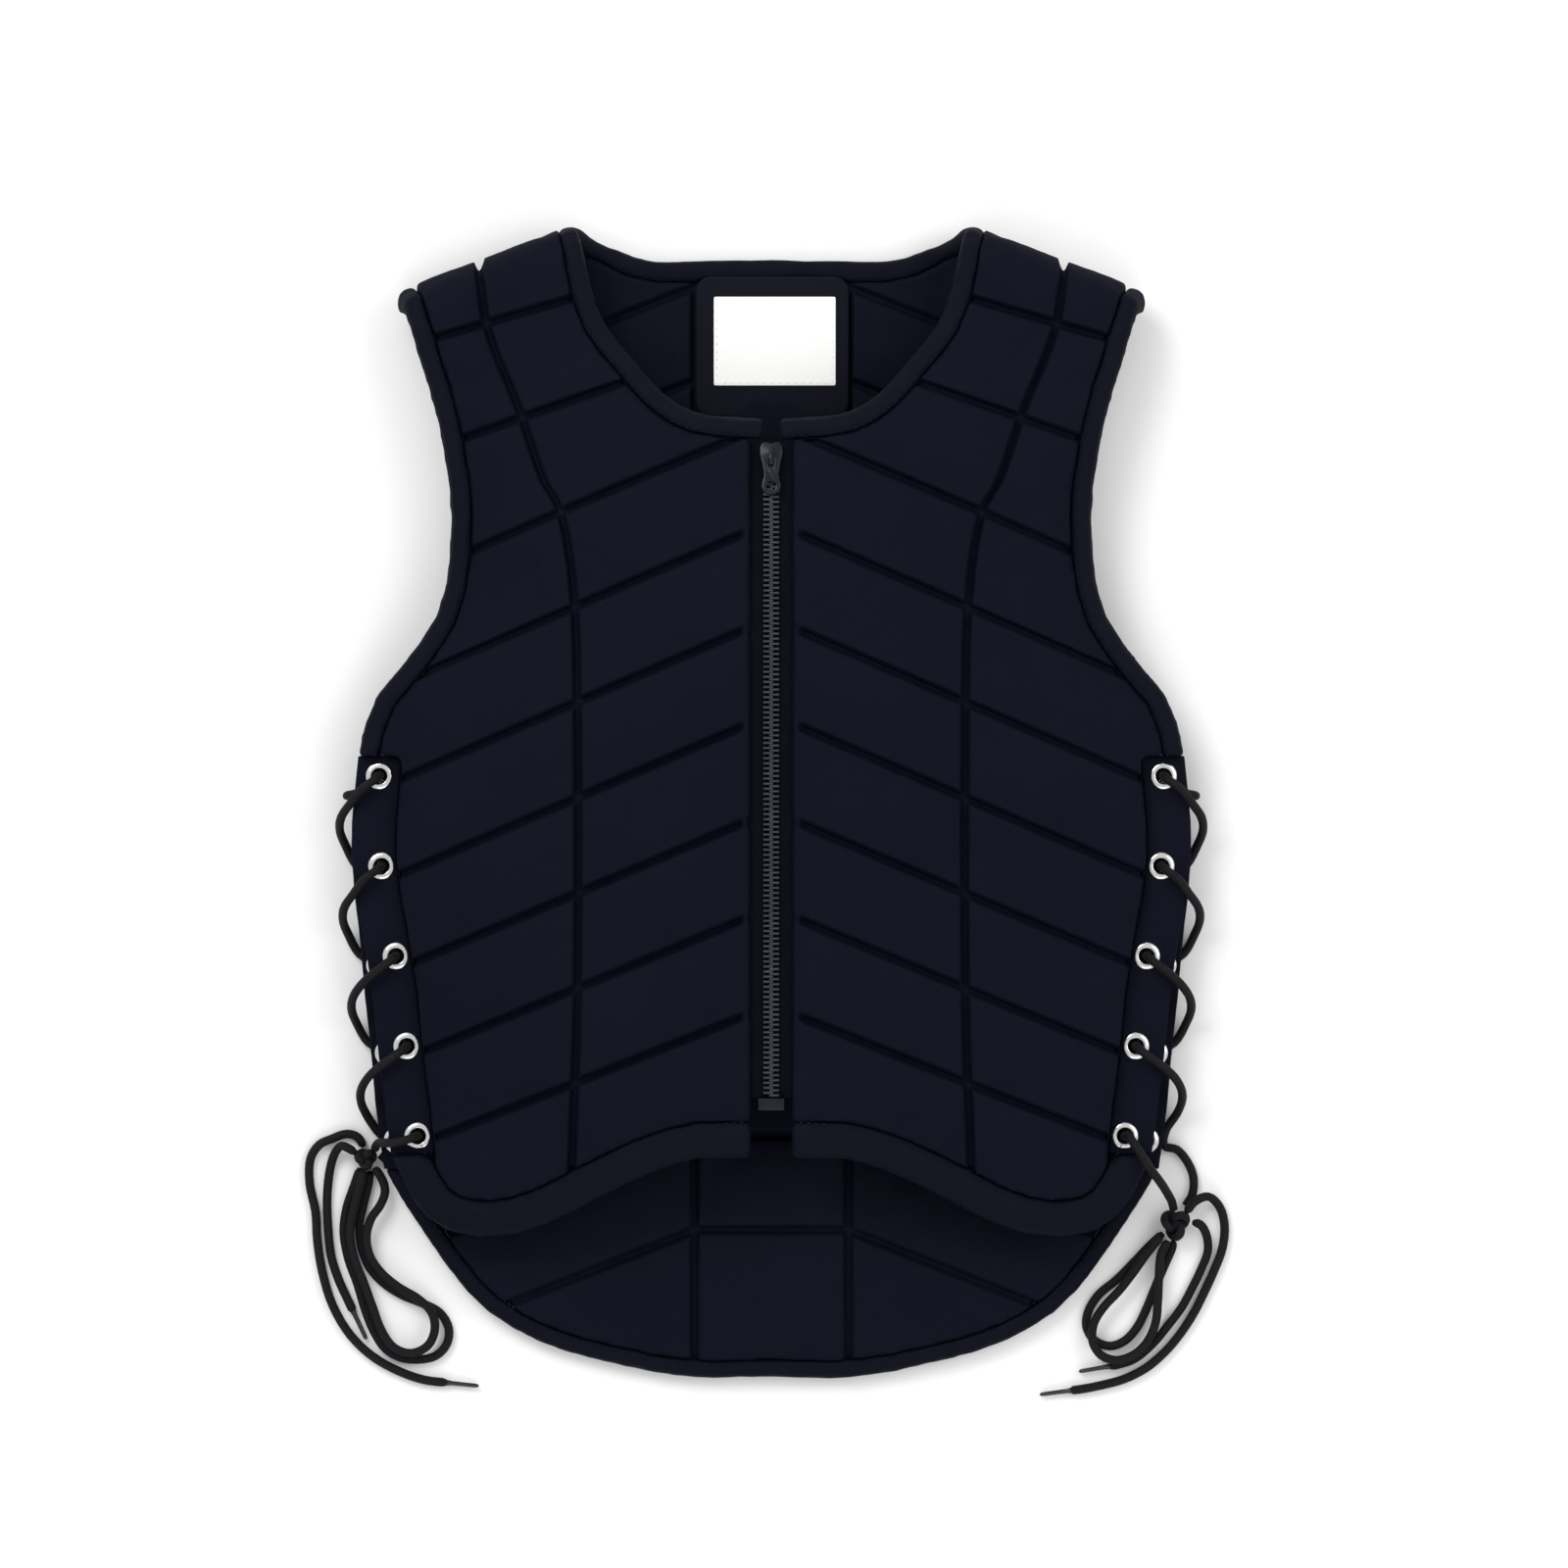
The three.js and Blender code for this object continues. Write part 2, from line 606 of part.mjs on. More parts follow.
function addBackPanel() {
  const outer = backGrid('outer');
  const inner = backGrid('inner');
  const outerFace = gridSlab(outer.columns, outer.rows, outer.place, foam + beyond / 2);
  const innerFace = gridSlab(inner.columns, inner.rows, inner.place, -beyond / 2);
  const armDown = splitAt([...armPad].reverse(), seamBelow + clearance).far;
  const neckDown = splitAt(neckBackPad, seamBelow + clearance).far;
  const side = sideLine(backSideEdge, backStripEndY, lacingWidth);
  const tail = backHemPad.filter(([, y]) => y < backHemEdge[0][1] - 1);
  const rightHalf = [
    ...[...neckDown].reverse(), ...armDown,
    [side[0][0], stripTopY + clearance],
    ...side, [side[side.length - 1][0], backStripEndY - clearance],
    [backHemPad[0][0], backStripEndY - clearance], ...tail,
  ];
  const outline = [
    ...rightHalf,
    ...[...rightHalf].reverse().filter(([x]) => x > 1).map(([x, y]) => [-x, y]),
  ];
  addMesh('back_panel', cutPanel(outline, outerFace, innerFace, backPoint), material.shell);
}

// Lacing strips and eyelets

const eyeletSets = {
  front: { edge: frontSideEdge, end: frontStripEndY, drop: frontEyeletDrop, foot: frontEyeletFoot, inset: frontEyeletInset },
  back: { edge: backSideEdge, end: backStripEndY, drop: backEyeletDrop, foot: backEyeletFoot, inset: backEyeletInset },
};

function eyeletPlaces({ edge, end, drop, foot, inset }) {
  const top = stripTopY - drop;
  const pitch = (top - end - foot) / (eyeletCount - 1);
  return Array.from({ length: eyeletCount }, (_, i) => {
    const y = top - i * pitch;
    const first = i === 0 ? Math.min(inset, inset * 0.25 + eyeletRadius + 1) : inset;
    return [edgeX(edge, y) - first, y];
  });
}

const stripLevel = {
  front: sideHeight - frontStripDepth - stripThickness,
  back: backStripDepth,
};

function eyeletGeometry() {
  const h = stripThickness / 2 + clearance;
  const profile = [
    [eyeletBore, -h - eyeletFlange], [eyeletRadius, -h - eyeletFlange / 2], [eyeletBarrel, -h],
    [eyeletBarrel, h], [eyeletRadius, h + eyeletFlange / 2], [eyeletBore, h + eyeletFlange],
    [eyeletBore, -h - eyeletFlange],
  ].map(([r, z]) => new THREE.Vector2(r, z));
  const ring = new THREE.LatheGeometry(profile, 8);
  ring.rotateX(Math.PI / 2);
  return ring;
}

function addStrips() {
  for (const face of ['front', 'back']) {
    const set = eyeletSets[face];
    const endY = face === 'front' ? frontStripEndY : backStripEndY;
    const outline = [
      ...sideLine(set.edge, endY, 0),
      ...sideLine(set.edge, endY, lacingWidth - bandGap).reverse(),
    ];
    const shape = new THREE.Shape(outline.map(([x, y]) => new THREE.Vector2(x, y)));
    const places = eyeletPlaces(set);
    const plate = new THREE.ExtrudeGeometry(shape, { depth: stripThickness, bevelEnabled: false });
    plate.translate(0, 0, stripLevel[face]);
    let pierced = toManifold(plate);
    for (const [x, y] of places) {
      const hole = new THREE.CylinderGeometry(eyeletBarrel + clearance, eyeletBarrel + clearance, beyond, 8);
      hole.rotateX(Math.PI / 2);
      hole.translate(x, y, stripLevel[face]);
      pierced = pierced.subtract(toManifold(hole));
    }
    const { points, triangles } = manifoldPoints(pierced);
    const geometry = closedGeometry(points, triangles);
    addMesh(`${face}_lacing_strip_r`, geometry, material.shell);
    addMesh(`${face}_lacing_strip_l`, mirrored(geometry), material.shell);
    places.forEach(([x, y], i) => {
      for (const [side, sign] of [['r', 1], ['l', -1]]) {
        const ring = addMesh(`${face}_eyelet_${side}${i + 1}`, eyeletGeometry(), material.eyelet);
        ring.position.set(sign * x, y, stripLevel[face] + stripThickness / 2);
      }
    });
  }
}

// Zip

function ribbon(x0, x1, depth, thickness, y0, y1, steps) {
  const points = [];
  const triangles = [];
  for (let i = 0; i <= steps; i += 1) {
    const y = y0 + (y1 - y0) * i / steps;
    const outer = frontPoint((x0 + x1) / 2, y, depth);
    points.push([x0, y, outer[2]], [x1, y, outer[2]]);
    points.push([x1, y, outer[2] - thickness], [x0, y, outer[2] - thickness]);
  }
  for (let i = 0; i < steps; i += 1) {
    for (let j = 0; j < 4; j += 1) {
      const a = i * 4 + j;
      const b = i * 4 + (j + 1) % 4;
      triangles.push([a, b, b + 4], [a, b + 4, a + 4]);
    }
  }
  const e = steps * 4;
  triangles.push([0, 2, 1], [0, 3, 2], [e, e + 1, e + 2], [e, e + 2, e + 3]);
  return closedGeometry(points, triangles);
}

const tapeDepth = chainDepth + chainThickness + clearance;
const sliderBottomDepth = tapeDepth + tapeThickness + clearance;

function addZip() {
  const steps = 10;
  const tape = ribbon(tapeInnerX, padEdgeX - clearance, tapeDepth, tapeThickness, zipBottomY, zipTopY, steps);
  addMesh('zip_tape_r', tape, material.tape);
  addMesh('zip_tape_l', mirrored(tape), material.tape);
  const chainTop = sliderY + chainAbove;
  const chain = ribbon(clearance / 2, chainHalfWidth, chainDepth, chainThickness, zipBottomY, chainTop, steps);
  addMesh('zip_chain_r', chain, material.teeth);
  addMesh('zip_chain_l', mirrored(chain), material.teeth);
  const boxTop = zipBottomY - clearance;
  const { halfWidth: reach, depth, thickness, length } = zipBox;
  const box = ribbon(-reach, reach, depth, thickness, boxTop - length, boxTop, 1);
  addMesh('zip_box', box, material.slider);

  const near = sliderLength / 3;
  const slope = (frontHeight(0, sliderY + near) - frontHeight(0, sliderY - near)) / (2 * near);
  const head = new THREE.Group();
  head.position.set(0, sliderY, frontHeight(0, sliderY));
  head.rotation.x = Math.atan(slope);
  vest.add(head);
  const boxAt = (w, l, h, y, z) => {
    const block = new THREE.BoxGeometry(w, l, h);
    block.translate(0, y, z);
    return toManifold(block);
  };
  const plateTop = -(chainDepth - clearance - sliderPlate);
  const bottom = -(sliderBottomDepth + sliderPlate / 2);
  const crown = sliderLength * crownShare;
  const top = new THREE.Shape();
  top.moveTo(-tailHalf, crown - sliderLength);
  top.lineTo(tailHalf, crown - sliderLength);
  top.lineTo(shoulderHalf, crown - crownDrop);
  top.lineTo(crownHalf, crown);
  top.lineTo(-crownHalf, crown);
  top.lineTo(-shoulderHalf, crown - crownDrop);
  const plate = new THREE.ExtrudeGeometry(top, { depth: sliderPlate, bevelEnabled: false });
  plate.translate(0, 0, plateTop - sliderPlate);
  const under = plate.clone();
  under.translate(0, 0, bottom + sliderPlate / 2 - plateTop);
  const wedgeDepth = -bottom + plateTop;
  let body = toManifold(plate).add(toManifold(under));
  body = body.add(boxAt(postWidth, postLength, wedgeDepth, crown - postLength / 2, plateTop - wedgeDepth / 2));
  const barHeight = pullThickness + bridgeRoom;
  for (const y of [-bridgeHalf, bridgeHalf]) {
    body = body.add(boxAt(bridgeWidth, bridgeWall, barHeight + bridgeHeight, y, plateTop + barHeight / 2));
  }
  const bridgeLength = 2 * bridgeHalf + bridgeWall;
  body = body.add(boxAt(bridgeWidth, bridgeLength, bridgeHeight, 0, plateTop + barHeight + bridgeHeight / 2));
  const made = manifoldPoints(body);
  addMesh('zip_slider', closedGeometry(made.points, made.triangles), material.slider, head);

  const outline = new THREE.Shape();
  const w = pullWidth / 2;
  const collar = clearance * 1.5;
  outline.moveTo(-w, collar);
  outline.lineTo(-w * pullWaist, -pullLength * waistShare);
  outline.lineTo(-w, -pullLength + w);
  outline.absarc(0, -pullLength + w, w, Math.PI, 2 * Math.PI, false);
  outline.lineTo(w * pullWaist, -pullLength * waistShare);
  outline.lineTo(w, collar);
  const slotHalf = bridgeWidth / 2 + clearance;
  const slotStart = -collar;
  const slotEnd = -bridgeHalf - bridgeWall / 2 - 3 * clearance;
  const slot = new THREE.Path();
  slot.moveTo(-slotHalf, slotStart);
  slot.lineTo(-slotHalf, slotEnd);
  slot.lineTo(slotHalf, slotEnd);
  slot.lineTo(slotHalf, slotStart);
  const eye = new THREE.Path();
  eye.absarc(0, -pullLength + w, eyeRadius, 0, 2 * Math.PI, true);
  outline.holes.push(slot, eye);
  const tab = new THREE.ExtrudeGeometry(outline, { depth: pullThickness, bevelEnabled: false, curveSegments: 5 });
  tab.translate(0, 0, -pullThickness / 2);
  const pull = addMesh('zip_pull', tab, material.slider, head);
  pull.position.set(0, 0, plateTop + clearance + pullThickness / 2);
}

// Label inside the back of the neck

function addLabel() {
  const sheet = (name, size, level, finish) => {
    const block = new THREE.BoxGeometry(size.width, size.height, size.thickness);
    const mesh = addMesh(name, block, finish);
    mesh.position.set(size.centreX, size.centreY, level + size.thickness / 2);
  };
  sheet('label_patch', patchSize, foam + clearance, material.patch);
  sheet('label', labelSize, foam + patchSize.thickness + 2 * clearance, material.label);
}

// Laces

const fromPhoto = ([across, down, z]) => new THREE.Vector3(
  (across - photoCentre.across) * photoScale, (photoCentre.down - down) * photoScale, z,
);

// A smooth curve whose even steps fall on its own points
class RouteCurve extends THREE.CatmullRomCurve3 {
  getPointAt(u, target) {
    return this.getPoint(u, target);
  }

  getTangentAt(u, target) {
    return this.getTangent(u, target);
  }
}

function tube(points, diameter, sides = 8) {
  const section = new THREE.Shape();
  for (let k = 0; k < sides; k += 1) {
    const turn = k * 2 * Math.PI / sides;
    const at = [diameter / 2 * Math.cos(turn), diameter / 2 * Math.sin(turn)];
    if (k === 0) section.moveTo(...at);
    else section.lineTo(...at);
  }
  const path = new RouteCurve(points, false, 'centripetal');
  const steps = points.length - 1;
  return new THREE.ExtrudeGeometry(section, { steps, extrudePath: path, bevelEnabled: false });
}

// Route of the lace from the top eyelets to the knot, offsets in mm from an eyelet or from the side edge
function outerPass([fx, fy], [bx, by], edge) {
  return [
    [fx, fy, 22], [fx, fy, 29.8], [fx + 3, fy - 2.6, 34], [fx + 9, fy - 7, 35], [edge + 1, fy - 15, 32],
    [edge + 6, fy - 22, 26], [edge + 7.4, fy - 29, 17], [edge + 5, fy - 37, 7.5],
    [edge - 1, (by + fy - 42) / 2, 3], [bx, by, 5.4], [bx, by, 13],
  ];
}
const innerPass = ([bx, by], [fx, fy]) => [
  [bx - 0.8, by - 3, 16.4], [(bx + fx) / 2, (by + fy) / 2, 17.8], [fx + 0.6, fy + 3, 18.8],
];

const laceEnds = {
  r: {
    sign: 1,
    fromFront: [
      [1152, 1160, 34.5], [1160, 1171, 39], [1172, 1190, 40], [1184, 1206, 36], [1192, 1218, 24],
      [1198, 1229, 13.5], [1200, 1236, 10],
    ],
    fromBack: [[1191, 1172, 3], [1204, 1176, 3], [1215, 1189, 3], [1221, 1205, 2.8], [1220, 1222, 2.8], [1213, 1234, 2.8]],
    knot: { at: [1202, 1252], size: [15.6, 16.8, 13] },
  },
  l: {
    sign: -1,
    fromFront: [
      [419, 1162, 34], [409, 1165, 35], [398, 1167, 33], [389, 1167, 26], [383, 1169, 16], [380, 1174, 9.5],
    ],
    fromBack: [[396, 1172, 3], [389, 1182, 3], [385, 1187, 3]],
    knot: { at: [370, 1185], size: [11.9, 11.9, 12.8] },
  },
};

function laceRoute({ sign, fromFront, fromBack }) {
  const front = eyeletPlaces(eyeletSets.front);
  const back = eyeletPlaces(eyeletSets.back);
  const edge = (i) => edgeX(backSideEdge, front[i][1] - 25);
  const own = [
    ...outerPass(front[0], back[1], edge(0)), ...innerPass(back[1], front[2]),
    ...outerPass(front[2], back[3], edge(2)), ...innerPass(back[3], front[4]),
    [front[4][0], front[4][1], 22], [front[4][0], front[4][1], 29.8],
  ].map(([x, y, z]) => new THREE.Vector3(sign * x, y, z));
  const other = [
    [front[0][0] + 3, front[0][1] - 1, 18.5], [back[0][0] + 7, back[0][1] - 1, 17.2],
    [edge(0) + 3.6, back[0][1] - 3, 12.5], [edge(0) + 1.6, back[0][1] - 3, 5],
    [back[0][0] + 3, back[0][1] - 1, 2.9], [back[0][0], back[0][1], 5.4], [back[0][0], back[0][1], 13],
    ...innerPass(back[0], front[1]), ...outerPass(front[1], back[2], edge(1)),
    ...innerPass(back[2], front[3]), ...outerPass(front[3], back[4], edge(3)).slice(0, -2),
  ].map(([x, y, z]) => new THREE.Vector3(sign * x, y, z));
  const a = [...own, ...fromFront.map(fromPhoto)].reverse();
  return { a, other, tail: fromBack.map(fromPhoto) };
}

// Bows: each route with its height in mm, from the knot and back to it or to the tip
const bows = {
  r: {
    tail1: [
      [1213, 1240, 8.6], [1222, 1229, 8.6], [1236, 1224, 7], [1248, 1235, 3.6], [1253, 1254, 2.7], [1251, 1277, 2.7],
      [1243, 1299, 2.7], [1233, 1321, 2.7], [1222, 1343, 2.7], [1208, 1365, 2.7], [1191, 1385, 2.7],
      [1172, 1401, 2.7], [1150, 1412, 2.7], [1128, 1418, 2.7], [1108, 1422, 2.7], [1094, 1424, 2.7],
    ],
    tail2: [
      [1220, 1250, 8], [1228, 1253, 7], [1234, 1263, 4.5], [1236, 1280, 2.7], [1229, 1299, 2.7], [1220, 1318, 2.7],
      [1209, 1338, 2.7], [1195, 1357, 2.7], [1179, 1376, 2.7], [1161, 1391, 2.7], [1145, 1397, 2.7], [1134, 1399, 2.7],
    ],
    loop1: [
      [1190, 1262, 2.7], [1176, 1275, 2.7], [1160, 1292, 2.7], [1142, 1310, 2.7], [1124, 1325, 2.7], [1113, 1342, 2.7],
      [1111, 1358, 2.7], [1119, 1372, 2.7], [1135, 1378, 2.7], [1150, 1373, 2.7], [1163, 1359, 2.7], [1173, 1339, 2.7],
      [1182, 1317, 2.7], [1191, 1296, 2.7], [1198, 1280, 2.7], [1201, 1270, 2.7],
    ],
    loop2: [
      [1194, 1269, 8], [1187, 1285, 8], [1185, 1308, 8], [1184, 1332, 8], [1182, 1352, 8], [1174, 1372, 8],
      [1160, 1386, 8], [1142, 1392, 8], [1126, 1387, 8], [1117, 1373, 8], [1118, 1355, 8], [1128, 1338, 8],
      [1144, 1321, 8], [1158, 1303, 8], [1170, 1286, 8], [1181, 1272, 8], [1188, 1264, 8],
    ],
  },
  l: {
    tail1: [
      [368, 1173, 3], [361, 1163, 2.8], [350, 1160, 2.7], [335, 1165, 2.7], [322, 1171, 2.7], [313, 1185, 2.7],
      [312, 1210, 2.7], [318, 1240, 2.7], [320, 1270, 2.7], [325, 1302, 2.7], [336, 1337, 2.7], [354, 1367, 2.7],
      [377, 1389, 2.7], [404, 1404, 2.7], [430, 1413, 2.7], [455, 1416, 2.7],
    ],
    tail2: [
      [360, 1179, 8], [352, 1174, 8], [345, 1172, 7.4], [338, 1180, 4.6], [333, 1196, 2.8], [330, 1225, 2.7],
      [331, 1256, 2.7], [334, 1285, 2.7], [341, 1308, 2.7], [350, 1328, 2.7], [357, 1343, 2.7],
    ],
    loop1: [
      [364, 1195, 2.7], [357, 1215, 2.7], [350, 1236, 2.7], [347, 1261, 2.7], [352, 1289, 2.7], [361, 1314, 2.7],
      [369, 1341, 2.7], [378, 1363, 2.7], [390, 1381, 2.7], [406, 1390, 2.7], [424, 1392, 2.7], [442, 1388, 2.7],
      [453, 1376, 2.7], [455, 1360, 2.7], [446, 1344, 2.7], [428, 1334, 2.7], [408, 1326, 2.7], [389, 1314, 2.7],
      [375, 1299, 2.7], [366, 1279, 2.7], [363, 1256, 2.7], [367, 1234, 2.7], [372, 1214, 2.7], [374, 1198, 2.7],
    ],
    loop2: [
      [379, 1194, 8], [387, 1206, 8], [390, 1219, 8], [385, 1233, 8], [376, 1246, 8], [371, 1264, 8],
      [374, 1284, 8], [386, 1302, 8], [404, 1317, 8], [424, 1329, 8], [438, 1343, 8], [441, 1361, 8],
      [434, 1377, 8], [417, 1385, 8], [399, 1379, 8], [386, 1361, 8], [377, 1337, 8], [368, 1312, 8],
      [358, 1286, 8], [354, 1261, 8], [358, 1236, 8], [364, 1214, 8], [368, 1197, 8],
    ],
  },
};

function addLaces() {
  for (const side of ['l', 'r']) {
    const end = laceEnds[side];
    const { a, other, tail } = laceRoute(end);
    addMesh(`lace_${side}`, tube([...a, ...other, ...tail], laceDiameter), material.lace);
    const [width, length, height] = end.knot.size;
    const knot = new THREE.IcosahedronGeometry(0.5, 1);
    knot.scale(width, length, height);
    const centre = fromPhoto([...end.knot.at, height / 2 + clearance]);
    addMesh(`knot_${side}`, knot, material.lace).position.copy(centre);
    for (const [name, route] of Object.entries(bows[side])) {
      const points = route.map(fromPhoto);
      const isTail = name.startsWith('tail');
      addMesh(`${name}_${side}`, tube(points, laceDiameter), material.lace);
      if (isTail) {
        const [before, last] = points.slice(-2);
        const way = last.clone().sub(before).setZ(0).normalize();
        const start = last.clone().addScaledVector(way, clearance);
        const tip = tube([start, start.clone().addScaledVector(way, tipLength)], tipDiameter);
        addMesh(`tip_${name}_${side}`, tip, material.lace);
      }
    }
  }
}

addFrontPanels();
addBackPanel();
addBands();
addStrips();
addZip();
addLabel();
addLaces();

export default vest;
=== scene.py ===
import math

import bpy
import numpy as np
from mathutils import Matrix, Vector


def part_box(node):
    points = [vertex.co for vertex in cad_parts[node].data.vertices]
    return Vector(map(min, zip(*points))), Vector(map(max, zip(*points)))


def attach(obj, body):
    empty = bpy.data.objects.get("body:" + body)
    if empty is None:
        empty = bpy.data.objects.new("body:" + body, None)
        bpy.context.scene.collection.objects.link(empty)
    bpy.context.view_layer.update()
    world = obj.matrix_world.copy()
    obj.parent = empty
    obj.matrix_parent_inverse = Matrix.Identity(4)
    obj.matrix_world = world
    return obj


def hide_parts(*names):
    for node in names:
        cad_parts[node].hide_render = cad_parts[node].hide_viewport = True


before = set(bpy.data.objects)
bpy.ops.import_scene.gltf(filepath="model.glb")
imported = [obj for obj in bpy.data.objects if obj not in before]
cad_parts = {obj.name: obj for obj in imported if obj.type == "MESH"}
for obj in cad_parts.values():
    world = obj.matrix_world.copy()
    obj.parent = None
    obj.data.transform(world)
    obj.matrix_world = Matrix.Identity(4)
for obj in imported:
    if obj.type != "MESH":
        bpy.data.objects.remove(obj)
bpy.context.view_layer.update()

MM = 0.001

# The vest's sizes, in metres, as in the frame
HALF_WIDTH = 225.5 * MM
HALF_LENGTH = 310.5 * MM
NECK_POINT_X = 105 * MM
SHOULDER_TIP_X = 201.6 * MM
SHOULDER_FALL = 37 * MM
FOLD_RADIUS = 22 * MM
FOAM = 12 * MM
CHEST_HEIGHT = 84 * MM
SIDE_HEIGHT = 36 * MM
PAD_EDGE_X = 11.5 * MM
ZIP_TOP_Y = 191.45 * MM
ZIP_BOTTOM_Y = -158 * MM
TAPE_INNER_X = 2 * MM
TAPE_THICKNESS = 1.2 * MM
TAPE_DEPTH = 5.55 * MM
CHAIN_DEPTH = 2.6 * MM
CHAIN_HALF_WIDTH = 4.3 * MM
CHAIN_THICKNESS = 2.6 * MM
TOOTH_PITCH = 2.7 * MM
SLIDER_Y = 182.45 * MM
LACE_DIAMETER = 4.8 * MM
TIP_LENGTH = 17 * MM
TIP_DIAMETER = 2.4 * MM
PATCH_CORNER = 8 * MM
FLOOR_GAP = 0.1 * MM
MERGE_DISTANCE = 0.01 * MM


# Picking and finishing

def deselect():
    if bpy.context.object and bpy.context.object.mode != "OBJECT":
        bpy.ops.object.mode_set(mode="OBJECT")
    bpy.ops.object.select_all(action="DESELECT")


def only(piece):
    deselect()
    piece.select_set(True)
    bpy.context.view_layer.objects.active = piece


def edit(piece, select="SELECT"):
    only(piece)
    bpy.ops.object.mode_set(mode="EDIT")
    bpy.ops.mesh.select_all(action=select)


def settle(piece):
    """Puts the piece's place into its mesh."""
    only(piece)
    bpy.ops.object.transform_apply(location=True, rotation=True, scale=True)
    return piece


def new_piece(name, points, faces):
    mesh = bpy.data.meshes.new(name)
    mesh.from_pydata([tuple(p) for p in points], [], faces)
    mesh.update()
    piece = bpy.data.objects.new(name, mesh)
    bpy.context.scene.collection.objects.link(piece)
    return piece


def copy_of_node(node, name):
    """A merged copy of a CAD node's mesh as a piece of its own."""
    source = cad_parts[node]
    mesh = source.data.copy()
    mesh.transform(source.matrix_world)
    mesh.materials.clear()
    piece = bpy.data.objects.new(name, mesh)
    bpy.context.scene.collection.objects.link(piece)
    edit(piece)
    bpy.ops.mesh.remove_doubles(threshold=MERGE_DISTANCE)
    deselect()
    return piece


def apply_modifier(piece, kind, **values):
    only(piece)
    modifier = piece.modifiers.new(kind.lower(), kind)
    for key, value in values.items():
        setattr(modifier, key, value)
    bpy.ops.object.modifier_apply(modifier=modifier.name)


def dress(piece, material, replaced=(), body="vest", angle=None):
    """Gives a piece its finish, hides the nodes that it stands for and hangs it on the body that it rides
    on.
    """
    piece.data.materials.clear()
    piece.data.materials.append(material)
    only(piece)
    if angle is None:
        bpy.ops.object.shade_smooth()
    else:
        bpy.ops.object.shade_smooth_by_angle(angle=math.radians(angle))
    if replaced:
        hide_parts(*replaced)
    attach(piece, body)
    return piece


def coordinates(mesh):
    flat = np.empty(len(mesh.vertices) * 3)
    mesh.vertices.foreach_get("co", flat)
    return flat.reshape(-1, 3)


def move_points(mesh, points):
    mesh.vertices.foreach_set("co", points.reshape(-1))
    mesh.update()


# The camera looks straight down on the vest, as in the photo

camera_data = bpy.data.cameras.new("camera")
camera_data.lens = 200
camera_data.sensor_width = 36
camera_data.clip_end = 20
camera = bpy.data.objects.new("camera", camera_data)
camera.location = (6.8 * MM, 9.2 * MM, 4.707)
bpy.context.scene.collection.objects.link(camera)
bpy.context.scene.camera = camera
bpy.context.view_layer.update()


# Laces: the routes' points in mm, as in the frame. Both sides share the run through the eyelets

LACE_RUN = [
    (189.8, -179.8, 29.8), (189.8, -179.8, 22), (190.4, -176.8, 18.8), (198.1, -157.7, 17.8),
    (205.6, -138.6, 16.4), (206.4, -135.6, 13), (206.4, -135.6, 5.4), (217.6, -130.4, 3),
    (223.6, -120.1, 7.5), (226, -112.1, 17), (224.6, -105.1, 26), (219.6, -98.1, 32),
    (210.5, -90.1, 35), (204.5, -85.7, 34), (201.5, -83.1, 29.8), (201.5, -83.1, 22),
    (202.1, -80.1, 18.8), (208.7, -62.2, 17.8), (215.1, -44.2, 16.4), (215.9, -41.2, 13),
    (215.9, -41.2, 5.4), (224, -34.8, 3), (230, -23.4, 7.5), (232.4, -15.4, 17), (231, -8.4, 26),
    (226, -1.4, 32), (219.5, 6.6, 35), (213.5, 11, 34), (210.5, 13.6, 29.8), (210.5, 13.6, 22),
    (213.5, 12.6, 18.5), (221.3, 5, 17.2), (228.6, 3, 12.5), (226.6, 3, 5), (217.3, 5, 2.9),
    (214.3, 6, 5.4), (214.3, 6, 13), (213.5, 3, 16.4), (211.8, -14.4, 17.8), (209.9, -31.8, 18.8),
    (209.3, -34.8, 22), (209.3, -34.8, 29.8), (212.3, -37.4, 34), (218.3, -41.8, 35),
    (224.3, -49.8, 32), (229.3, -56.8, 26), (230.7, -63.8, 17), (228.3, -71.8, 7.5), (222.3, -82.6, 3),
    (211.1, -88.4, 5.4), (211.1, -88.4, 13), (210.3, -91.4, 16.4), (203.4, -109.9, 17.8),
    (196.3, -128.5, 18.8), (195.7, -131.5, 22), (195.7, -131.5, 29.8), (198.7, -134.1, 34),
    (204.7, -138.5, 35), (214.8, -146.5, 32), (219.8, -153.5, 26), (221.2, -160.5, 17),
    (218.8, -168.5, 7.5), (212.8, -178.1, 3),
]
LACE_POINTS_L = [
    (-213.7, -187.2, 9.5), (-212.1, -184.5, 16), (-208.9, -183.5, 26), (-204.2, -183.5, 33),
    (-198.5, -182.4, 35), (-193.2, -180.9, 34),
    *((-x, y, z) for x, y, z in LACE_RUN),
    (-205.3, -186.1, 3), (-208.9, -191.4, 3), (-211, -194, 3),
]
TAIL1_POINTS_L = [
    (-220, -186.6, 3), (-223.6, -181.4, 2.8), (-229.4, -179.8, 2.7), (-237.3, -182.4, 2.7),
    (-244.1, -185.6, 2.7), (-248.8, -192.9, 2.7), (-249.4, -206.1, 2.7), (-246.2, -221.8, 2.7),
    (-245.2, -237.6, 2.7), (-242.5, -254.4, 2.7), (-236.8, -272.7, 2.7), (-227.3, -288.5, 2.7),
    (-215.2, -300, 2.7), (-201.1, -307.9, 2.7), (-187.4, -312.6, 2.7), (-174.3, -314.2, 2.7),
]
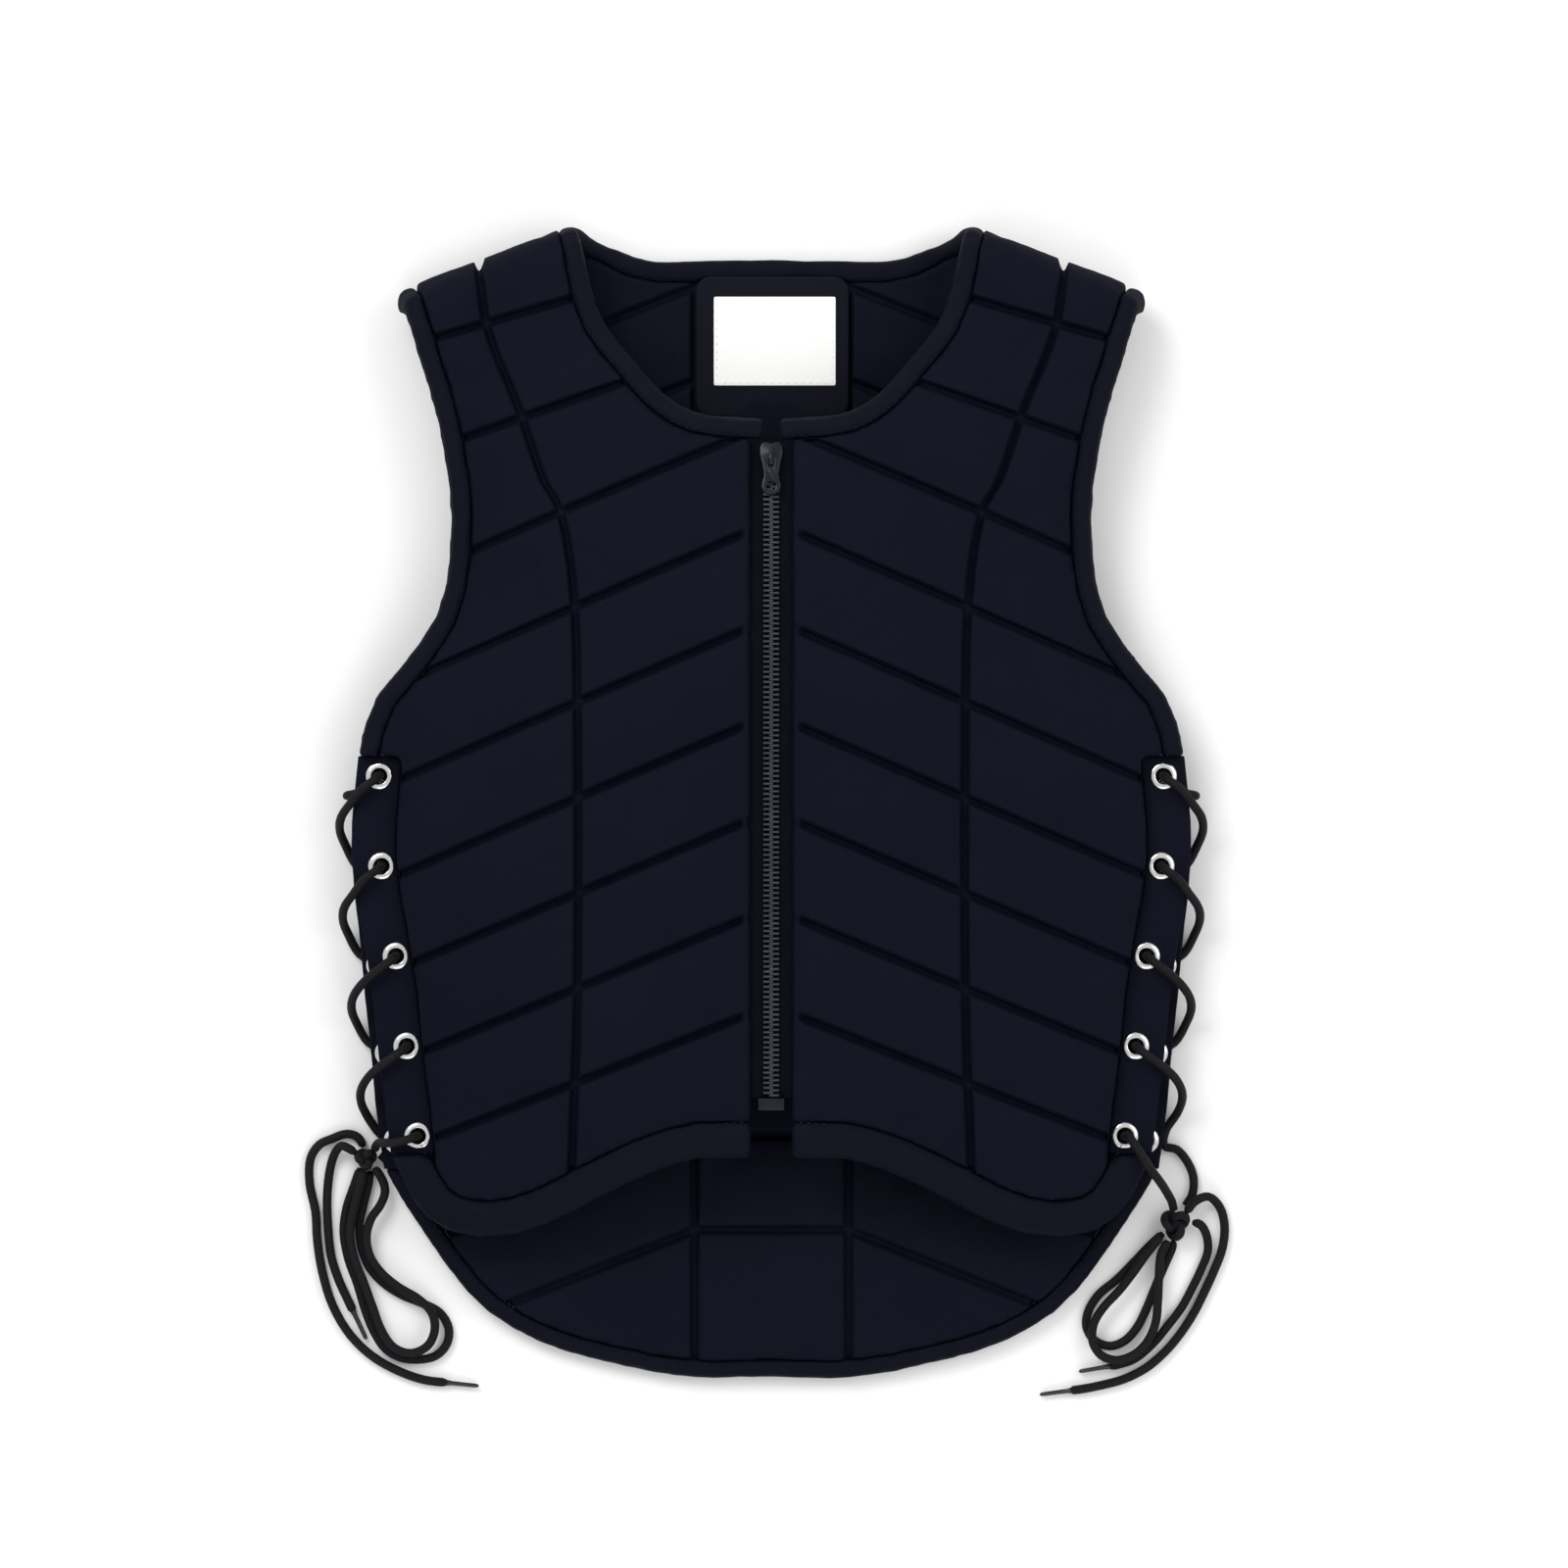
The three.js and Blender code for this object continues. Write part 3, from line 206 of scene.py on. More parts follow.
TAIL2_POINTS_L = [
    (-224.2, -189.8, 8), (-228.4, -187.2, 8), (-232, -186.1, 7.4), (-235.7, -190.3, 4.6),
    (-238.3, -198.7, 2.8), (-239.9, -213.9, 2.7), (-239.4, -230.2, 2.7), (-237.8, -245.4, 2.7),
    (-234.1, -257.5, 2.7), (-229.4, -268, 2.7), (-225.7, -275.9, 2.7),
]
LOOP1_POINTS_L = [
    (-222.1, -198.2, 2.7), (-225.7, -208.7, 2.7), (-229.4, -219.7, 2.7), (-231, -232.8, 2.7),
    (-228.4, -247.5, 2.7), (-223.6, -260.7, 2.7), (-219.4, -274.8, 2.7), (-214.7, -286.4, 2.7),
    (-208.4, -295.8, 2.7), (-200, -300.6, 2.7), (-190.6, -301.6, 2.7), (-181.1, -299.5, 2.7),
    (-175.3, -293.2, 2.7), (-174.3, -284.8, 2.7), (-179, -276.4, 2.7), (-188.5, -271.2, 2.7),
    (-199, -267, 2.7), (-208.9, -260.7, 2.7), (-216.3, -252.8, 2.7), (-221, -242.3, 2.7),
    (-222.6, -230.2, 2.7), (-220.5, -218.7, 2.7), (-217.9, -208.2, 2.7), (-216.8, -199.8, 2.7),
]
LOOP2_POINTS_L = [
    (-214.2, -197.7, 8), (-210, -204, 8), (-208.4, -210.8, 8), (-211, -218.1, 8), (-215.8, -225, 8),
    (-218.4, -234.4, 8), (-216.8, -244.9, 8), (-210.5, -254.4, 8), (-201.1, -262.2, 8),
    (-190.6, -268.5, 8), (-183.2, -275.9, 8), (-181.6, -285.3, 8), (-185.3, -293.7, 8),
    (-194.2, -297.9, 8), (-203.7, -294.8, 8), (-210.5, -285.3, 8), (-215.2, -272.7, 8),
    (-220, -259.6, 8), (-225.2, -246, 8), (-227.3, -232.8, 8), (-225.2, -219.7, 8), (-222.1, -208.2, 8),
    (-220, -199.2, 8),
]
LACE_POINTS_R = [
    (216.8, -219.7, 10), (215.8, -216, 13.5), (212.6, -210.3, 24), (208.4, -204, 36),
    (202.1, -195.6, 40), (195.8, -185.6, 39), (191.6, -179.8, 34.5),
    *LACE_RUN,
    (212.1, -186.1, 3), (218.9, -188.2, 3), (224.7, -195, 3), (227.9, -203.4, 2.8),
    (227.3, -212.4, 2.8), (223.7, -218.7, 2.8),
]
TAIL1_POINTS_R = [
    (223.7, -221.8, 8.6), (228.4, -216, 8.6), (235.7, -213.4, 7), (242, -219.2, 3.6),
    (244.7, -229.2, 2.7), (243.6, -241.2, 2.7), (239.4, -252.8, 2.7), (234.2, -264.3, 2.7),
    (228.4, -275.9, 2.7), (221, -287.4, 2.7), (212.1, -297.9, 2.7), (202.1, -306.3, 2.7),
    (190.6, -312.1, 2.7), (179, -315.3, 2.7), (168.5, -317.4, 2.7), (161.2, -318.4, 2.7),
]
TAIL2_POINTS_R = [
    (227.3, -227.1, 8), (231.5, -228.6, 7), (234.7, -233.9, 4.5), (235.7, -242.8, 2.7),
    (232.1, -252.8, 2.7), (227.3, -262.8, 2.7), (221.6, -273.3, 2.7), (214.2, -283.2, 2.7),
    (205.8, -293.2, 2.7), (196.4, -301.1, 2.7), (188, -304.2, 2.7), (182.2, -305.3, 2.7),
]
LOOP1_POINTS_R = [
    (211.6, -233.4, 2.7), (204.2, -240.2, 2.7), (195.8, -249.1, 2.7), (186.4, -258.6, 2.7),
    (176.9, -266.4, 2.7), (171.2, -275.4, 2.7), (170.1, -283.8, 2.7), (174.3, -291.1, 2.7),
    (182.7, -294.3, 2.7), (190.6, -291.6, 2.7), (197.4, -284.3, 2.7), (202.7, -273.8, 2.7),
    (207.4, -262.2, 2.7), (212.1, -251.2, 2.7), (215.8, -242.8, 2.7), (217.4, -237.6, 2.7),
]
LOOP2_POINTS_R = [
    (213.7, -237, 8), (210, -245.4, 8), (209, -257.5, 8), (208.4, -270.1, 8), (207.4, -280.6, 8),
    (203.2, -291.1, 8), (195.8, -298.5, 8), (186.4, -301.6, 8), (178, -299, 8), (173.3, -291.6, 8),
    (173.8, -282.2, 8), (179, -273.3, 8), (187.4, -264.3, 8), (194.8, -254.9, 8), (201.1, -246, 8),
    (206.9, -238.6, 8), (210.5, -234.4, 8),
]


# Effects that the finishes share

def group_tree(name, inputs, outputs):
    tree = bpy.data.node_groups.new(name, "ShaderNodeTree")
    for label, kind, default in inputs:
        socket = tree.interface.new_socket(label, in_out="INPUT", socket_type=kind)
        if default is not None:
            socket.default_value = default
    for label, kind in outputs:
        tree.interface.new_socket(label, in_out="OUTPUT", socket_type=kind)
    start = tree.nodes.new("NodeGroupInput")
    end = tree.nodes.new("NodeGroupOutput")
    return tree, start, end


def math_node(tree, operation, *sources):
    node = tree.nodes.new("ShaderNodeMath")
    node.operation = operation
    for i, source in enumerate(sources):
        if isinstance(source, (int, float)):
            node.inputs[i].default_value = source
        else:
            tree.links.new(source, node.inputs[i])
    return node.outputs[0]


def noise(tree, vector, scale, detail=2.0, roughness=0.5):
    node = tree.nodes.new("ShaderNodeTexNoise")
    node.inputs["Detail"].default_value = detail
    node.inputs["Roughness"].default_value = roughness
    tree.links.new(vector, node.inputs["Vector"])
    if isinstance(scale, (int, float)):
        node.inputs["Scale"].default_value = scale
    else:
        tree.links.new(scale, node.inputs["Scale"])
    return node.outputs["Fac"]


def make_knit():
    """Fine knit of the covers: crossing rows of stitches, broken up by noise, and slow patches of tone."""
    tree, start, end = group_tree(
        "knit",
        [
            ("Vector", "NodeSocketVector", None),
            ("Rows", "NodeSocketFloat", 2400.0),
            ("Patches", "NodeSocketFloat", 30.0),
        ],
        [("Height", "NodeSocketFloat"), ("Tone", "NodeSocketFloat")],
    )
    vector = start.outputs["Vector"]
    axes = tree.nodes.new("ShaderNodeSeparateXYZ")
    tree.links.new(vector, axes.inputs[0])
    across = math_node(tree, "SINE", math_node(tree, "MULTIPLY", axes.outputs[0], start.outputs["Rows"]))
    along = math_node(tree, "SINE", math_node(tree, "MULTIPLY", axes.outputs[1], start.outputs["Rows"]))
    up = math_node(tree, "SINE", math_node(tree, "MULTIPLY", axes.outputs[2], start.outputs["Rows"]))
    rows = math_node(tree, "ADD", math_node(tree, "MULTIPLY", across, along), up)
    fine = noise(tree, vector, 1500.0, 1.0)
    height = math_node(tree, "ADD", math_node(tree, "MULTIPLY", rows, 0.22), fine)
    tree.links.new(height, end.inputs["Height"])
    patches = noise(tree, vector, start.outputs["Patches"], 4.0, 0.6)
    grain = noise(tree, vector, 420.0, 2.0)
    slow_part = math_node(tree, "MULTIPLY", patches, 0.7)
    fine_part = math_node(tree, "MULTIPLY", grain, 0.3)
    tone = math_node(tree, "ADD", slow_part, fine_part)
    tree.links.new(tone, end.inputs["Tone"])
    return tree


def make_braid_with_strand_shade():
    """Crossing strands round a lace, along its own UV map. Its Tone is painted shade, darker in the hollows
    between the strands, times a random fibre tone.
    """
    tree, start, end = group_tree(
        "braid",
        [
            ("UV", "NodeSocketVector", None),
            ("Strands", "NodeSocketFloat", 4.0),
            ("Lay", "NodeSocketFloat", 5.0),
        ],
        [("Height", "NodeSocketFloat"), ("Tone", "NodeSocketFloat")],
    )
    axes = tree.nodes.new("ShaderNodeSeparateXYZ")
    tree.links.new(start.outputs["UV"], axes.inputs[0])
    strands = math_node(tree, "MULTIPLY", axes.outputs[0], start.outputs["Strands"])
    turn = math_node(tree, "MULTIPLY", strands, math.tau)
    lays = math_node(tree, "MULTIPLY", axes.outputs[1], start.outputs["Lay"])
    lay = math_node(tree, "MULTIPLY", lays, math.tau)
    left = math_node(tree, "ABSOLUTE", math_node(tree, "SINE", math_node(tree, "ADD", turn, lay)))
    right = math_node(tree, "ABSOLUTE", math_node(tree, "SINE", math_node(tree, "SUBTRACT", turn, lay)))
    height = math_node(tree, "MAXIMUM", left, right)
    tree.links.new(height, end.inputs["Height"])
    fibre = noise(tree, start.outputs["UV"], 9.0, 3.0)
    # Painted shade: the colour follows the strands' height, so the hollows between strands are darker; the
    # fibre noise adds random tone.
    tone = math_node(tree, "MULTIPLY", height, fibre)
    tree.links.new(tone, end.inputs["Tone"])
    return tree


def make_scuffs():
    """Small dents, fine scratches and slow changes on moulded and plated pieces."""
    tree, start, end = group_tree(
        "scuffs",
        [("Vector", "NodeSocketVector", None), ("Grain", "NodeSocketFloat", 900.0)],
        [("Height", "NodeSocketFloat"), ("Wear", "NodeSocketFloat")],
    )
    vector = start.outputs["Vector"]
    grain = noise(tree, vector, start.outputs["Grain"], 2.0)
    slow = noise(tree, vector, 160.0, 4.0, 0.65)
    tree.links.new(grain, end.inputs["Height"])
    wear = math_node(tree, "POWER", slow, 2.0)
    tree.links.new(wear, end.inputs["Wear"])
    return tree


KNIT = make_knit()
BRAID_WITH_STRAND_SHADE = make_braid_with_strand_shade()
SCUFFS = make_scuffs()


def finish(
    name, group, detail, coordinate, low, high, roughness, bump, metallic=0.0, coat=0.0, gloss=0.5,
):
    """A finish whose group gives a height for the bump and a value that blends its two colours.

    low and high are the two colours, roughness the two ends of its range, bump its strength and depth.
    """
    material = bpy.data.materials.new(name)
    material.use_nodes = True
    tree = material.node_tree
    shader = tree.nodes["Principled BSDF"]
    place = tree.nodes.new("ShaderNodeTexCoord")
    effect = tree.nodes.new("ShaderNodeGroup")
    effect.node_tree = group
    tree.links.new(place.outputs[coordinate], effect.inputs[0])
    for key, value in detail.items():
        effect.inputs[key].default_value = value
    change = effect.outputs[1]
    colour = tree.nodes.new("ShaderNodeMix")
    colour.data_type = "RGBA"
    colour.inputs["A"].default_value = (*low, 1)
    colour.inputs["B"].default_value = (*high, 1)
    tree.links.new(change, colour.inputs["Factor"])
    tree.links.new(colour.outputs["Result"], shader.inputs["Base Color"])
    rough = tree.nodes.new("ShaderNodeMapRange")
    rough.inputs["To Min"].default_value = roughness[0]
    rough.inputs["To Max"].default_value = roughness[1]
    tree.links.new(change, rough.inputs["Value"])
    tree.links.new(rough.outputs["Result"], shader.inputs["Roughness"])
    relief = tree.nodes.new("ShaderNodeBump")
    relief.inputs["Strength"].default_value = bump[0]
    relief.inputs["Distance"].default_value = bump[1]
    tree.links.new(effect.outputs["Height"], relief.inputs["Height"])
    tree.links.new(relief.outputs["Normal"], shader.inputs["Normal"])
    shader.inputs["Metallic"].default_value = metallic
    shader.inputs["Specular IOR Level"].default_value = gloss
    shader.inputs["Coat Weight"].default_value = coat
    return material


cover = finish(
    "foam_cover", KNIT, {"Rows": 2600.0, "Patches": 16.0}, "Object",
    (0.0022, 0.0027, 0.0078), (0.0056, 0.0066, 0.0140), (0.62, 0.78), (0.35, 0.0004), gloss=0.045,
)
binding = finish(
    "edge_binding", KNIT, {"Rows": 3400.0, "Patches": 40.0}, "Object",
    (0.0021, 0.0025, 0.0072), (0.0052, 0.0060, 0.0125), (0.55, 0.74), (0.4, 0.0004), gloss=0.05,
)
tape_weave = finish(
    "zip_tape_weave", KNIT, {"Rows": 5200.0, "Patches": 90.0}, "Object",
    (0.0014, 0.0016, 0.0042), (0.0050, 0.0055, 0.0098), (0.7, 0.9), (0.6, 0.0004), gloss=0.05,
)
teeth_plastic = finish(
    "moulded_teeth", SCUFFS, {"Grain": 1400.0}, "Object",
    (0.016, 0.018, 0.026), (0.066, 0.071, 0.090), (0.30, 0.50), (0.15, 0.0003), coat=0.05, gloss=0.35,
)
zip_metal = finish(
    "painted_zip_metal", SCUFFS, {"Grain": 1800.0}, "Object",
    (0.007, 0.008, 0.012), (0.026, 0.028, 0.038), (0.26, 0.46), (0.1, 0.0002),
    metallic=0.5, coat=0.06, gloss=0.25,
)
nickel = finish(
    "plated_eyelet", SCUFFS, {"Grain": 1600.0}, "Object",
    (0.78, 0.78, 0.77), (0.52, 0.52, 0.53), (0.14, 0.34), (0.08, 0.0002), metallic=1.0,
)
# The laces' colour carries painted shade in the hollows between the braid's strands, over a random fibre
# tone.
lace_braid_strand_shade = finish(
    "lace_braid_strand_shade", BRAID_WITH_STRAND_SHADE, {"Strands": 4.0, "Lay": 2.2}, "UV",
    (0.0030, 0.0030, 0.0038), (0.0130, 0.0132, 0.0160), (0.5, 0.72), (0.7, 0.0006), gloss=0.12,
)
tip_plastic = finish(
    "lace_tip_sleeve", SCUFFS, {"Grain": 1200.0}, "Object",
    (0.006, 0.006, 0.007), (0.018, 0.018, 0.021), (0.22, 0.42), (0.1, 0.0002), coat=0.3, gloss=0.35,
)
patch_satin = finish(
    "label_patch_satin", KNIT, {"Rows": 4200.0, "Patches": 22.0}, "Object",
    (0.0022, 0.0027, 0.0070), (0.0050, 0.0058, 0.0115), (0.48, 0.62), (0.25, 0.0003), gloss=0.07,
)
label_satin = finish(
    "label_satin", KNIT, {"Rows": 5200.0, "Patches": 26.0}, "Object",
    (0.92, 0.92, 0.91), (0.97, 0.97, 0.96), (0.5, 0.64), (0.12, 0.0003),
)
thread = finish(
    "sewing_thread", SCUFFS, {"Grain": 2600.0}, "Object",
    (0.0050, 0.0054, 0.0088), (0.0140, 0.0148, 0.0205), (0.5, 0.7), (0.3, 0.0003), gloss=0.15,
)


# Laces

def smooth_route(points, parts):
    """A smooth line through the points, with so many parts between each two, in metres."""
    knots = [Vector(p) * MM for p in points]
    route = []
    for i in range(len(knots) - 1):
        b, c = knots[i], knots[i + 1]
        a = knots[i - 1] if i else b - (c - b)
        d = knots[i + 2] if i + 2 < len(knots) else c + (c - b)
        t1 = math.sqrt((b - a).length)
        t2 = t1 + math.sqrt((c - b).length)
        t3 = t2 + math.sqrt((d - c).length)
        for k in range(parts):
            t = t1 + (t2 - t1) * k / parts
            a1 = a * ((t1 - t) / t1) + b * (t / t1)
            a2 = b * ((t2 - t) / (t2 - t1)) + c * ((t - t1) / (t2 - t1))
            a3 = c * ((t3 - t) / (t3 - t2)) + d * ((t - t2) / (t3 - t2))
            b1 = a1 * ((t2 - t) / t2) + a2 * (t / t2)
            b2 = a2 * ((t3 - t) / (t3 - t1)) + a3 * ((t - t1) / (t3 - t1))
            route.append(b1 * ((t2 - t) / (t2 - t1)) + b2 * ((t - t1) / (t2 - t1)))
    route.append(knots[-1])
    return route


def length_of(route):
    return sum((b - a).length for a, b in zip(route, route[1:]))


def lace_tube(name, route, radii, sides=10):
    """A closed round tube along a route, with a UV map: once round across it, and girths along it."""
    count = len(route)
    if isinstance(radii, float):
        radii = [radii] * count
    ways = []
    for i in range(count):
        way = route[min(i + 1, count - 1)] - route[max(i - 1, 0)]
        ways.append(way.normalized())
    side = ways[0].orthogonal().normalized()
    points, along = [], []
    run = 0.0
    for i in range(count):
        if i:
            side = ways[i - 1].rotation_difference(ways[i]) @ side
            run += (route[i] - route[i - 1]).length
        other = ways[i].cross(side)
        along.append(run / (math.tau * max(radii)))
        for k in range(sides):
            turn = math.tau * k / sides
            points.append(route[i] + (side * math.cos(turn) + other * math.sin(turn)) * radii[i])
    faces = []
    for i in range(count - 1):
        for k in range(sides):
            a, b = i * sides + k, i * sides + (k + 1) % sides
            faces.append((a, b, b + sides, a + sides))
    faces.append(tuple(reversed(range(sides))))
    faces.append(tuple((count - 1) * sides + k for k in range(sides)))
    piece = new_piece(name, points, faces)
    layer = piece.data.uv_layers.new(name="lay")
    for face in piece.data.polygons[:-2]:
        column = face.index % sides
        row = face.index // sides
        corners = [(column, row), (column + 1, row), (column + 1, row + 1), (column, row + 1)]
        for loop, (across, level) in zip(face.loop_indices, corners):
            layer.data[loop].uv = (across / sides, along[level])
    return piece


def rounded_ends(route, radius):
    """Radii that close a lace's ends softly."""
    radii = []
    total = length_of(route)
    run = 0.0
    for i, point in enumerate(route):
        if i:
            run += (point - route[i - 1]).length
        near = min(run, total - run) / (radius * 0.8)
        radii.append(radius * (0.55 + 0.45 * min(1.0, near)))
    return radii


KNOT_STEPS = 72


def wound_knot(side, centre, size):
    """The knot of a bow: one lace wound round as a trefoil, packed round a core."""
    lace = LACE_DIAMETER / 2
    middle = Vector(centre) * MM
    reach = [max(s * MM / 2 - lace * 0.95, lace * 0.8) for s in size]
    route = []
    for k in range(KNOT_STEPS):
        t = math.tau * k / KNOT_STEPS
        route.append(middle + Vector((
            reach[0] * (math.sin(t) + 2 * math.sin(2 * t)) / 2.6,
            reach[1] * (math.cos(t) - 2 * math.cos(2 * t)) / 2.6,
            reach[2] * -math.sin(3 * t) * 0.95,
        )))
    route.append(route[0])
    knot = lace_tube(f"bow_knot_{side}", route, lace * 0.98, 10)
    core = lace_tube(
        f"knot_core_{side}",
        [middle + Vector((0, 0, z * reach[2] * 1.3)) for z in (-1, -0.5, 0, 0.5, 1)],
        [lace * 0.5, lace * 1.1, lace * 1.2, lace * 1.1, lace * 0.5], 12,
    )
    only(knot)
    core.select_set(True)
    bpy.ops.object.join()
    return knot


# A tip sleeve's width along it, as shares of its length and radius
TIP_PROFILE = [(0, 1.25), (0.06, 1.3), (0.12, 1.08), (0.5, 1), (0.9, 0.97), (0.97, 0.8), (1.01, 0.4)]


def make_laces(side, lace_points, bows, knot_centre, knot_size):
    radius = LACE_DIAMETER / 2
    knot = wound_knot(side, knot_centre, knot_size)
    dress(knot, lace_braid_strand_shade, [f"knot_{side}"])
    route = smooth_route(lace_points, 4)
    lace = dress(lace_tube(f"side_lace_{side}", route, radius), lace_braid_strand_shade, [f"lace_{side}"])
    for name, points in bows.items():
        route = smooth_route(points, 4)
        piece = lace_tube(f"bow_{name}_{side}", route, rounded_ends(route, radius))
        dress(piece, lace_braid_strand_shade, [f"{name}_{side}"])
        if not name.startswith("tail"):
            continue
        way = route[-1] - route[-2]
        way.z = 0
        way.normalize()
        start = route[-1] - way * 0.8 * MM
        sleeve = [start + way * TIP_LENGTH * share for share, _ in TIP_PROFILE]
        widths = [TIP_DIAMETER / 2 * wide for _, wide in TIP_PROFILE]
        tip = lace_tube(f"sleeve_{name}_{side}", sleeve, widths, 14)
        dress(tip, tip_plastic, [f"tip_{name}_{side}"], angle=40)


make_laces(
    "l", LACE_POINTS_L,
    {"tail1": TAIL1_POINTS_L, "tail2": TAIL2_POINTS_L, "loop1": LOOP1_POINTS_L, "loop2": LOOP2_POINTS_L},
    (-218.9, -192.9, 6.8), (11.9, 11.9, 12.8),
)
make_laces(
    "r", LACE_POINTS_R,
    {"tail1": TAIL1_POINTS_R, "tail2": TAIL2_POINTS_R, "loop1": LOOP1_POINTS_R, "loop2": LOOP2_POINTS_R},
    (217.9, -228.1, 6.9), (15.6, 16.8, 13),
)


# The front's height over the floor, from shares of the half length and half width

FRONT_PROFILE = [
    (0.90, 0.60, 1.22), (0.66, 0.80, 1.19), (0.50, 0.90, 1.12), (0.32, 0.98, 1.03),
    (0.10, 1.00, 1.00), (-0.20, 0.95, 1.00), (-0.50, 0.82, 1.00), (-0.76, 0.72, 1.00),
]
PAD_EDGE = [
    (0.90, 0.84), (0.67, 0.75), (0.499, 0.71), (0.335, 0.735), (0.184, 0.87),
    (0.04, 0.905), (-0.16, 0.885), (-0.50, 0.83), (-0.76, 0.79),
]


def read(table, column, along):
    """A smooth value between a table's rows, which run down the vest."""
    last = len(table) - 1
    if along >= table[0][0]:
        return table[0][column]
    if along <= table[last][0]:
        return table[last][column]
    i = 0
    while table[i + 1][0] > along:
        i += 1
    span = table[i + 1][0] - table[i][0]

    def slope(k):
        p, n = table[max(k - 1, 0)], table[min(k + 1, last)]
        return (n[column] - p[column]) / (n[0] - p[0])

    t = (along - table[i][0]) / span
    return (
        (2 * t**3 - 3 * t**2 + 1) * table[i][column] + (t**3 - 2 * t**2 + t) * span * slope(i)
        + (3 * t**2 - 2 * t**3) * table[i + 1][column] + (t**3 - t**2) * span * slope(i + 1)
    )


def ridge_y(x):
    return HALF_LENGTH - SHOULDER_FALL * (abs(x) - NECK_POINT_X) / (SHOULDER_TIP_X - NECK_POINT_X)


ARCH_POWER = 2.2
SHOULDER_BLEND = 0.110


def front_height(x, y):
    along = y / HALF_LENGTH
    centre = read(FRONT_PROFILE, 1, along) * CHEST_HEIGHT
    edge = read(FRONT_PROFILE, 2, along) * SIDE_HEIGHT
    ratio = min(1.0, abs(x) / (read(PAD_EDGE, 1, along) * HALF_WIDTH))
    body = edge + (centre - edge) * (1 - ratio**ARCH_POWER)
    s = min(1.0, max(0.0, (ridge_y(x) - y - FOLD_RADIUS) / SHOULDER_BLEND))
    blend = s * s * (3 - 2 * s)
    return 2 * FOLD_RADIUS * (1 - blend) + body * blend


def front_point(x, q, w):
    """A point of the front: q runs along the laid-out panel, w goes down from its outer face."""
    below = ridge_y(x) - q
    if below >= FOLD_RADIUS:
        return Vector((x, q, front_height(x, q) - w))
    turn = (FOLD_RADIUS - below) / FOLD_RADIUS
    radius = FOLD_RADIUS - w
    centre = ridge_y(x) - FOLD_RADIUS
    return Vector((x, centre + radius * math.sin(turn), FOLD_RADIUS + radius * math.cos(turn)))


HEIGHT_STEPS = np.linspace(-HALF_LENGTH, HALF_LENGTH, 240)
CENTRES = np.array([read(FRONT_PROFILE, 1, y / HALF_LENGTH) for y in HEIGHT_STEPS]) * CHEST_HEIGHT
EDGES = np.array([read(FRONT_PROFILE, 2, y / HALF_LENGTH) for y in HEIGHT_STEPS]) * SIDE_HEIGHT
PADS = np.array([read(PAD_EDGE, 1, y / HALF_LENGTH) for y in HEIGHT_STEPS]) * HALF_WIDTH


def ridges(x):
    return HALF_LENGTH - SHOULDER_FALL * (np.abs(x) - NECK_POINT_X) / (SHOULDER_TIP_X - NECK_POINT_X)


def face_heights(x, y, face):
    """The height of the front's outer face, or of the floor under the back."""
    if face == "back":
        return np.zeros_like(x)
    centre = np.interp(y, HEIGHT_STEPS, CENTRES)
    edge = np.interp(y, HEIGHT_STEPS, EDGES)
    ratio = np.minimum(1, np.abs(x) / np.interp(y, HEIGHT_STEPS, PADS))
    body = edge + (centre - edge) * (1 - ratio**ARCH_POWER)
    s = np.clip((ridges(x) - y - FOLD_RADIUS) / SHOULDER_BLEND, 0, 1)
    blend = s * s * (3 - 2 * s)
    return 2 * FOLD_RADIUS * (1 - blend) + body * blend


def lay_out(points, face):
    """Each point's place across and along the laid-out panel, and its depth under the outer face."""
    x, y, z = points.T
    up = 1 if face == "front" else -1
    centre = ridges(x) - FOLD_RADIUS
    turn = np.arctan2(y - centre, up * (z - FOLD_RADIUS))
    folded = y > centre
    along = np.where(folded, centre + FOLD_RADIUS * turn, y)
    flat = up * (face_heights(x, y, face) - z)
    depth = np.where(folded, FOLD_RADIUS - np.hypot(y - centre, z - FOLD_RADIUS), flat)
    return x, along, depth


def fold_back(x, along, depth, face):
    up = 1 if face == "front" else -1
    centre = ridges(x) - FOLD_RADIUS
    turn = (along - centre) / FOLD_RADIUS
    radius = FOLD_RADIUS - depth
    folded = turn > 0
    y = np.where(folded, centre + radius * np.sin(turn), along)
    z = np.where(folded, FOLD_RADIUS + up * radius * np.cos(turn), face_heights(x, along, face) - up * depth)
    return np.stack([x, y, z], axis=1)


# Sewn grooves: rows that fall away from the seam, as on the laid-out panels

ROW_PITCH = 50.8 * MM
FIRST_FRONT_ROW = 255.9 * MM
FIRST_BACK_ROW = 277 * MM
BACK_SEAM_X = 41.5 * MM
BACK_ROW_SLOPE = 0.4
BACK_ROWS = 11
FRONT_ROW_SLOPES = [0.29, 0.34, 0.42, 0.43, 0.43, 0.43, 0.425, 0.417, 0.40]
FRONT_SEAM = [
    (0.919, 0.696), (0.810, 0.672), (0.676, 0.599), (0.552, 0.539), (0.502, 0.501), (0.386, 0.471),
    (0.225, 0.459), (-0.312, 0.458), (-0.634, 0.473),
]
SEAM_STEPS = np.linspace(-HALF_LENGTH, HALF_LENGTH * 1.1, 300)
SEAMS = np.array([read(FRONT_SEAM, 1, y / HALF_LENGTH) for y in SEAM_STEPS]) * HALF_WIDTH
GROOVE_HALF = 2.9 * MM
GROOVE_DEPTH = {"front": 5.6 * MM, "back": 4.2 * MM}
GROOVE_STOP = 13 * MM
GROOVE_FADE = 5 * MM


